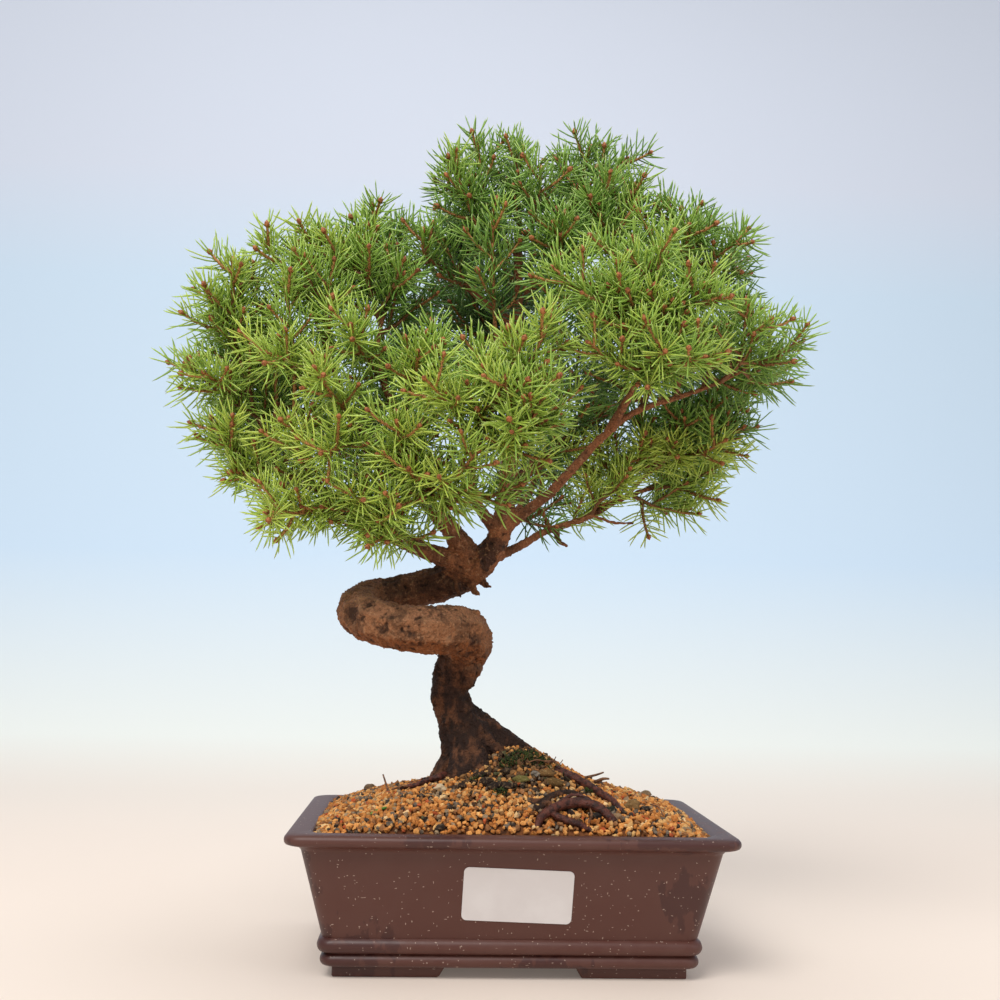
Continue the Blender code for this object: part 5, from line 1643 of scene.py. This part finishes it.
        # Each shoot's needles take the painted shade at its tip, with a random spread.
        sets = [
            self.needles_on(shoot, painted_shade_at(shoot.path[-1]) + draw.normal(0, 0.07), draw)
            for shoot in shoots
        ]
        frames, places, shades_and_tones = (np.concatenate(part) for part in zip(*sets))
        piece = mesh_piece(f"needles_{name}", *stamp(NEEDLE, frames, places), True)
        write_attribute(piece, "shade_and_tone", np.repeat(shades_and_tones, len(NEEDLE[0])))
        write_attribute(piece, "along", np.tile(NEEDLE[0][:, 2], len(shades_and_tones)))
        return finish_piece(piece, look, "needles", *nodes)

    def build_buds(self, shoots: list[Shoot], draw: random.Random) -> Piece:
        """Builds a bud or three at the tip of each shoot.

        Args:
            shoots: The shoots.
            draw: The buds' own chance.

        Returns:
            The buds, as one piece.
        """
        frames, places = [], []
        for shoot in shoots:
            end = shoot.path[-1]
            aim = Vector(end - shoot.path[-2]).normalized()
            side = aim.orthogonal().normalized()
            for bud in range(draw.choice((1, 1, 1, 2, 3))):
                spread, share = (0.75, 0.75) if bud else (0.0, 1.0)
                round_aim = Matrix.Rotation(draw.uniform(0, math.tau), 3, aim)
                lean = (aim + round_aim @ side * spread).normalized()
                square = lean.orthogonal().normalized()
                size = draw.uniform(*self.bud_size) * share
                frames.append((square * size, lean.cross(square) * size, lean * size))
                places.append(end - np.array(lean) * 0.5)
        return mesh_piece("buds", *stamp(BUD, np.array(frames), np.array(places)), True)

    def build_twigs(self, name: str, shoots: list[Shoot], look: Look) -> Piece:
        """Builds the twigs of a spray, and its buds.

        Args:
            name: The spray's name.
            shoots: Its shoots.
            look: Their material.

        Returns:
            The piece.
        """
        buds = self.build_buds(shoots, random.Random(f"{SEED} {name}"))
        twigs = tubes("twigs", [shoot.tube() for shoot in shoots], 4)
        for piece, value in ((buds, 1.0), (twigs, 0.0)):
            write_attribute(piece, "bud", np.full(len(piece.data.vertices), value))
        feet = KDTree(len(shoots))
        for index, shoot in enumerate(shoots):
            feet.insert(shoot.path[0] if shoot.bare > 1.0 else (0, 0, 0), index)
        feet.balance()
        off = np.array([feet.find(point)[2] for point in points_of(twigs)])
        write_attribute(twigs, "old", np.clip(1.0 - off / 40.0, 0, 1))
        return finish_piece(join([twigs, buds], f"twigs_{name}"), look, "twigs")

    def fill_stems(self) -> list[np.ndarray]:
        """The stems of the smaller sprays, each from the wood that is handiest for its tip."""
        limbs = [rows for name, rows in WOOD.items() if name.startswith("bough")]
        limbs.append(WOOD["trunk"][-8:])
        stems = [seen_path(stem, self.path_step) for stem in SPRAYS.values()]
        boughs = [seen_path([row[:3] for row in rows], 2 * self.path_step) for rows in limbs]
        wood = np.vstack([*boughs, *[stem[: len(stem) * 3 // 5] for stem in stems]])
        made = []
        for tip in FILL:
            end = np.array(seen(*tip))
            arms = end - wood
            reach = np.linalg.norm(arms, axis=1)
            level = np.clip(0.1 - arms[:, 2] / reach, 0, None)
            best = np.argmin(reach + 60 * level + 3 * np.clip(self.fill_least - reach, 0, None))
            middle = (wood[best] + end) / 2 - np.array((0, 0, 0.1 * reach[best]))
            made.append(smooth_path([wood[best], middle, end], self.path_step))
        return made

    def build(self, green: Look, brown: Look) -> None:
        """Builds all the sprays.

        Args:
            green: The needles' material.
            brown: The twigs' material.
        """
        sprays = {
            name: [seen_path(rows, self.path_step) for rows in (stem, FORKS.get(name)) if rows]
            for name, stem in SPRAYS.items()
        }
        stems = self.fill_stems()
        for start in range(0, len(stems), self.fill_group):
            number = start // self.fill_group + 1
            sprays[f"fill_{number:02d}"] = stems[start : start + self.fill_group]
        for name, paths in sprays.items():
            draw = random.Random(f"{SEED} {name} shoots")
            shoots = [shoot for path in paths for shoot in self.grow(path, draw)]
            nodes = [f"spray_{name}"] if name in SPRAYS else []
            self.build_needles(name, shoots, green, *nodes)
            self.build_twigs(name, shoots, brown)


@dataclass
class Litter:
    """What lies on the soil and hangs in the tree: roots, dry twigs, moss and a green blade.

    The roots hold x, y, height over the soil and radius, which `root_share` makes smaller. The
    twigs and the blade hold x, y, z and radius, and the moss x, y, radius and count of leaves.
    """

    root_share: float = 0.88
    surface_roots: tuple = (
        (
            (10.6, -59.9, -0.8, 1.6), (12.5, -58.5, 2.5, 2.3), (18.3, -54.7, 3.7, 2.7),
            (24.6, -51.2, 4.1, 2.8), (31.2, -49.4, 4.1, 2.8), (37.7, -50.3, 3.9, 2.8),
            (42, -52.9, 2.8, 2.6), (46.4, -55.6, 0, 2.2),
        ),
        (
            (16.1, -53.1, 2.2, 1.8), (19.3, -58, 3.0, 2.0), (23.7, -59.6, 2.5, 2.0),
            (29.1, -60.4, 1.6, 1.9), (35.5, -60.6, -1.2, 1.6),
        ),
        (
            (23, -13, 0.1, 2.7), (30.9, -16.2, 1.7, 2.5), (37.2, -21.3, 2.1, 2.4),
            (42.9, -30.2, 2.3, 2.2), (47, -36, 1.9, 2.1), (50.2, -40.4, 0.6, 1.8),
            (54.6, -44.3, -2.5, 1.5),
        ),
        (
            (-31, -8, 1.7, 2.4), (-35.1, -12.4, 2.7, 1.9), (-39.5, -10.8, 2.2, 1.6),
            (-45.3, -15.4, 1.8, 1.3), (-51.1, -14.2, 1.6, 1.1), (-55.8, -18.6, -0.4, 0.8),
        ),
        (
            (22.5, -43.8, 1.1, 1.0), (28.8, -38.8, 2.4, 1.1), (34.5, -39.3, 2.3, 1.1),
            (41.7, -42.4, 0.4, 0.9),
        ),
    )
    dry_twigs: tuple = (
        ((-61.8, -3.8, 84.5, 0.4), (-60.0, -9.5, 80.6, 0.55), (-57.5, -20.6, 75.8, 0.7)),
        ((-57, -18, 79.0, 0.5), (-51, -16, 80.5, 0.45), (-46, -15, 79.5, 0.4)),
        ((8.5, -18.4, 92.8, 0.35), (14.1, -16.5, 94.0, 0.35), (20.1, -15.5, 92.4, 0.3)),
        ((17.7, -13.7, 93.0, 0.8), (22.2, -17.0, 93.4, 0.7), (23.2, -18.3, 92.4, 0.4)),
        ((42.0, -17.9, 83.8, 0.9), (45.4, -22.7, 86.0, 0.8), (48.0, -24.7, 86.2, 0.5)),
        ((37.0, -17.9, 86.0, 0.7), (42.4, -18.7, 87.4, 0.6), (46.0, -19.7, 88.8, 0.4)),
        ((66.6, -33.9, 75.6, 0.3), (69.0, -42.9, 75.4, 0.35), (70.0, -50.3, 72.5, 0.3)),
        ((21.0, -17.0, 92.4, 0.25), (23.0, -15.0, 95.5, 0.2)),
        ((24.0, -17.5, 91.4, 0.25), (26.5, -14.0, 94.0, 0.2)),
        ((34.0, -60.0, 70.2, 0.5), (35.5, -59.5, 73.4, 0.7), (34.8, -58.8, 76.4, 0.3)),
    )
    blade: tuple = (
        (-66, -46, 70.5, 0.5), (-62, -44, 72.5, 0.7), (-58, -42, 73.5, 0.5), (-54, -41, 73.8, 0.2),
    )
    moss_places: tuple = (
        (-5, -36, 3.0, 60), (0, -16, 4.0, 80), (12, -11, 5.5, 90), (19, -11, 4.0, 60),
        (5, -13, 6.0, 90), (26, -14, 3.0, 30), (34, -46, 3.0, 60), (39, -27, 3.0, 50),
        (-16, -22, 3.0, 36),
    )

    def build_roots(self, look: Look) -> Piece:
        """Builds the roots that come to the surface.

        Args:
            look: Its material.

        Returns:
            The roots, as one piece.
        """
        paths = [
            smooth_path([(x, y, mound(x, y) + over, r * self.root_share) for x, y, over, r in rows], 1.0)
            for rows in self.surface_roots
        ]
        piece = tubes("roots_surface", paths, 8)
        points, normals = points_of(piece), rows_of(piece.data.vertex_normals, "vector")
        bumps = np.array([noise.fractal(Vector(p) / 2.4, 1.0, 2.0, 3) for p in points])
        move_points(piece, points + normals * (0.45 * bumps)[:, None])
        return finish_piece(piece, look, "bark")

    def build_twigs(self, look: Look) -> Piece:
        """Builds the dry twigs."""
        piece = tubes("twigs_dry", [smooth_path(rows, 1.5) for rows in self.dry_twigs], 6)
        return finish_piece(piece, look, "twigs")

    def build_blade(self, look: Look) -> Piece:
        """Builds the green blade."""
        return finish_piece(tubes("blade_green", [smooth_path(self.blade, 1.0)], 6), look, "moss")

    def build_moss(self, look: Look) -> Piece:
        """Builds tufts of short dark leaves near the trunk's foot.

        Args:
            look: Its material.

        Returns:
            The tufts, as one piece.
        """
        draw = np.random.default_rng(SEED + 3)
        places, frames = [], []
        for x, y, radius, count in self.moss_places:
            turns = draw.uniform(0, math.tau, count)
            arms = radius * np.sqrt(draw.random(count))
            at_x, at_y = x + arms * np.cos(turns), y + arms * np.sin(turns)
            rise = 1.6 * (1 - (arms / radius) ** 2)
            places.append(np.column_stack([at_x, at_y, mound(at_x, at_y) + rise]))
            outward = np.column_stack([np.cos(turns) * 0.7, np.sin(turns) * 0.7, np.ones(count)])
            aim = unit(outward + draw.normal(0, 0.45, (count, 3)))
            side, up = square_to(aim)
            length = draw.uniform(1.0, 2.2, count)[:, None]
            frames.append(np.stack([side * 0.45, up * 0.25, aim * length, side * 0.2], axis=1))
        made = stamp(NEEDLE, np.concatenate(frames), np.concatenate(places))
        return finish_piece(mesh_piece("moss_tufts", *made, True), look, "moss")


@dataclass(frozen=True)
class Backdrop:
    """The floor and the backdrop: cream below, pale blue in the middle, lavender on top."""

    floor: tuple = rgb(220, 206, 194)
    cream: tuple = rgb(222, 224, 218)
    blue: tuple = rgb(196, 214, 230)
    lavender: tuple = rgb(212, 211, 222)

    def make(self) -> Look:
        """Makes the material, whose colours rise with the height and a little with the distance."""
        made = Material("backdrop", roughness=0.9, specular_ior_level=0.1, emission_strength=0.16)
        places = made.put("SeparateXYZ", {0: made.place}).outputs
        far = made.times(made.step(places["Y"], 0.1, 1.5), 0.05)
        height = made.sums("ADD", places["Z"], far)
        share = made.put("MapRange", {"Value": height, "From Min": 0.0, "From Max": 1.6}).outputs[0]
        colors = (self.floor, self.cream, self.blue, self.blue, self.lavender)
        color = made.ramp(share, list(zip((0.0, 0.04, 0.2, 0.5, 0.72), colors)))
        for socket in ("Base Color", "Emission Color"):
            made.tree.links.new(color, made.shader[socket])
        return made.made


@dataclass
class Studio:
    """The floor and backdrop, the lights and the camera, in metres.

    `lights` holds each one's name, place, side, watts and colour.
    """

    camera_place: Vector = Vector((-0.0276, -0.6592, 0.1524))
    camera_look: Vector = Vector((0.046, 0.9932, 0.1073))
    camera_up: Vector = Vector((-0.0242, -0.1063, 0.994))
    lens: float = 46.38
    sensor: float = 36.0
    floor_half: float = 3.0
    back: float = 1.5
    height: float = 3.2
    bend: float = 0.9
    bend_steps: int = 32
    aim: Vector = Vector((0, 0, 0.22))
    lights: tuple = (
        ("key", (-0.6, -1.1, 1.6), 1.0, 28.0, (1.0, 0.98, 0.95)),
        ("fill", (1.3, -0.9, 0.8), 1.2, 5.0, (0.96, 0.98, 1.0)),
        ("top", (0.1, 0.3, 1.7), 1.2, 10.0, (1.0, 1.0, 1.0)),
    )

    def add_camera(self) -> None:
        """Sets the photo's camera."""
        look = self.camera_look.normalized()
        right = look.cross(self.camera_up).normalized()
        camera = link("camera", bpy.data.cameras.new("camera"))
        camera.data.lens = self.lens
        camera.data.sensor_width = self.sensor
        axes = Matrix((right, right.cross(look), -look)).transposed().to_4x4()
        camera.matrix_world = Matrix.Translation(self.camera_place) @ axes
        bpy.context.scene.camera = camera

    def add_sweep(self) -> None:
        """Builds the floor, and bends it up into the backdrop."""
        size = (self.floor_half, self.floor_half, 1.0)
        place = (0.0, self.back - self.floor_half, 0.0)
        sweep = primitive(bpy.ops.mesh.primitive_plane_add, size, size=2.0, location=place)
        sweep.name = "studio_sweep"
        up = {"value": (0, 0, self.height)}
        raise_wall = partial(bpy.ops.mesh.extrude_region_move, TRANSFORM_OT_translate=up)
        bend = partial(bpy.ops.mesh.bevel, offset=self.bend, segments=self.bend_steps, affect="EDGES")
        edit_edges(sweep, (self.back, 0.0), raise_wall)
        edit_edges(sweep, (self.back, 0.0), bend)
        sweep.data.shade_smooth()
        sweep.data.materials.append(Backdrop().make())

    def light_up(self) -> None:
        """Adds square soft lights that look at the crown, and the pale room round them."""
        for name, place, size, watts, color in self.lights:
            lamp = link(name, bpy.data.lights.new(name, "AREA"))
            lamp.data.size = size
            lamp.data.energy = watts
            lamp.data.color = color
            lamp.location = place
            lamp.rotation_euler = (self.aim - lamp.location).to_track_quat("-Z", "Y").to_euler()
        world = bpy.data.worlds.new("room")
        world.use_nodes = True
        room = world.node_tree.nodes["Background"]
        room.inputs["Color"].default_value = (0.92, 0.95, 1.0, 1.0)
        room.inputs["Strength"].default_value = 0.42
        bpy.context.scene.world = world
        bpy.context.scene.view_settings.view_transform = "Standard"

    def build(self) -> None:
        """Builds the whole studio."""
        self.add_camera()
        self.add_sweep()
        self.light_up()


def main() -> None:
    """Builds the studio and every piece of the tree and its pot, in order."""
    logging.basicConfig(level=logging.INFO, format="%(name)s %(message)s")
    Material.groups = {
        Effect.MOTTLE: mottle_group(),
        Effect.FLECKS: flecks_group(),
        Effect.CRUMB: crumb_group(),
    }
    Studio().build()
    Pot().build(GlazedBrown().make())
    Label().build(LABEL_SKIN.make())
    stone = StoneGrains().make()
    soil = Soil()
    soil.build_bed(SOIL_SKIN.make())
    soil.build_cover(stone)
    soil.build_stones(stone)
    Trunk().build(Bark().make())
    litter = Litter()
    litter.build_roots(ROOT_SKIN.make())
    litter.build_twigs(DRY_SKIN.make())
    litter.build_blade(BLADE_SKIN.make())
    litter.build_moss(MOSS_SKIN.make())
    Crown().build(NeedleGreen().make(), TwigSkin().make())


if __name__ == "__main__":
    main()
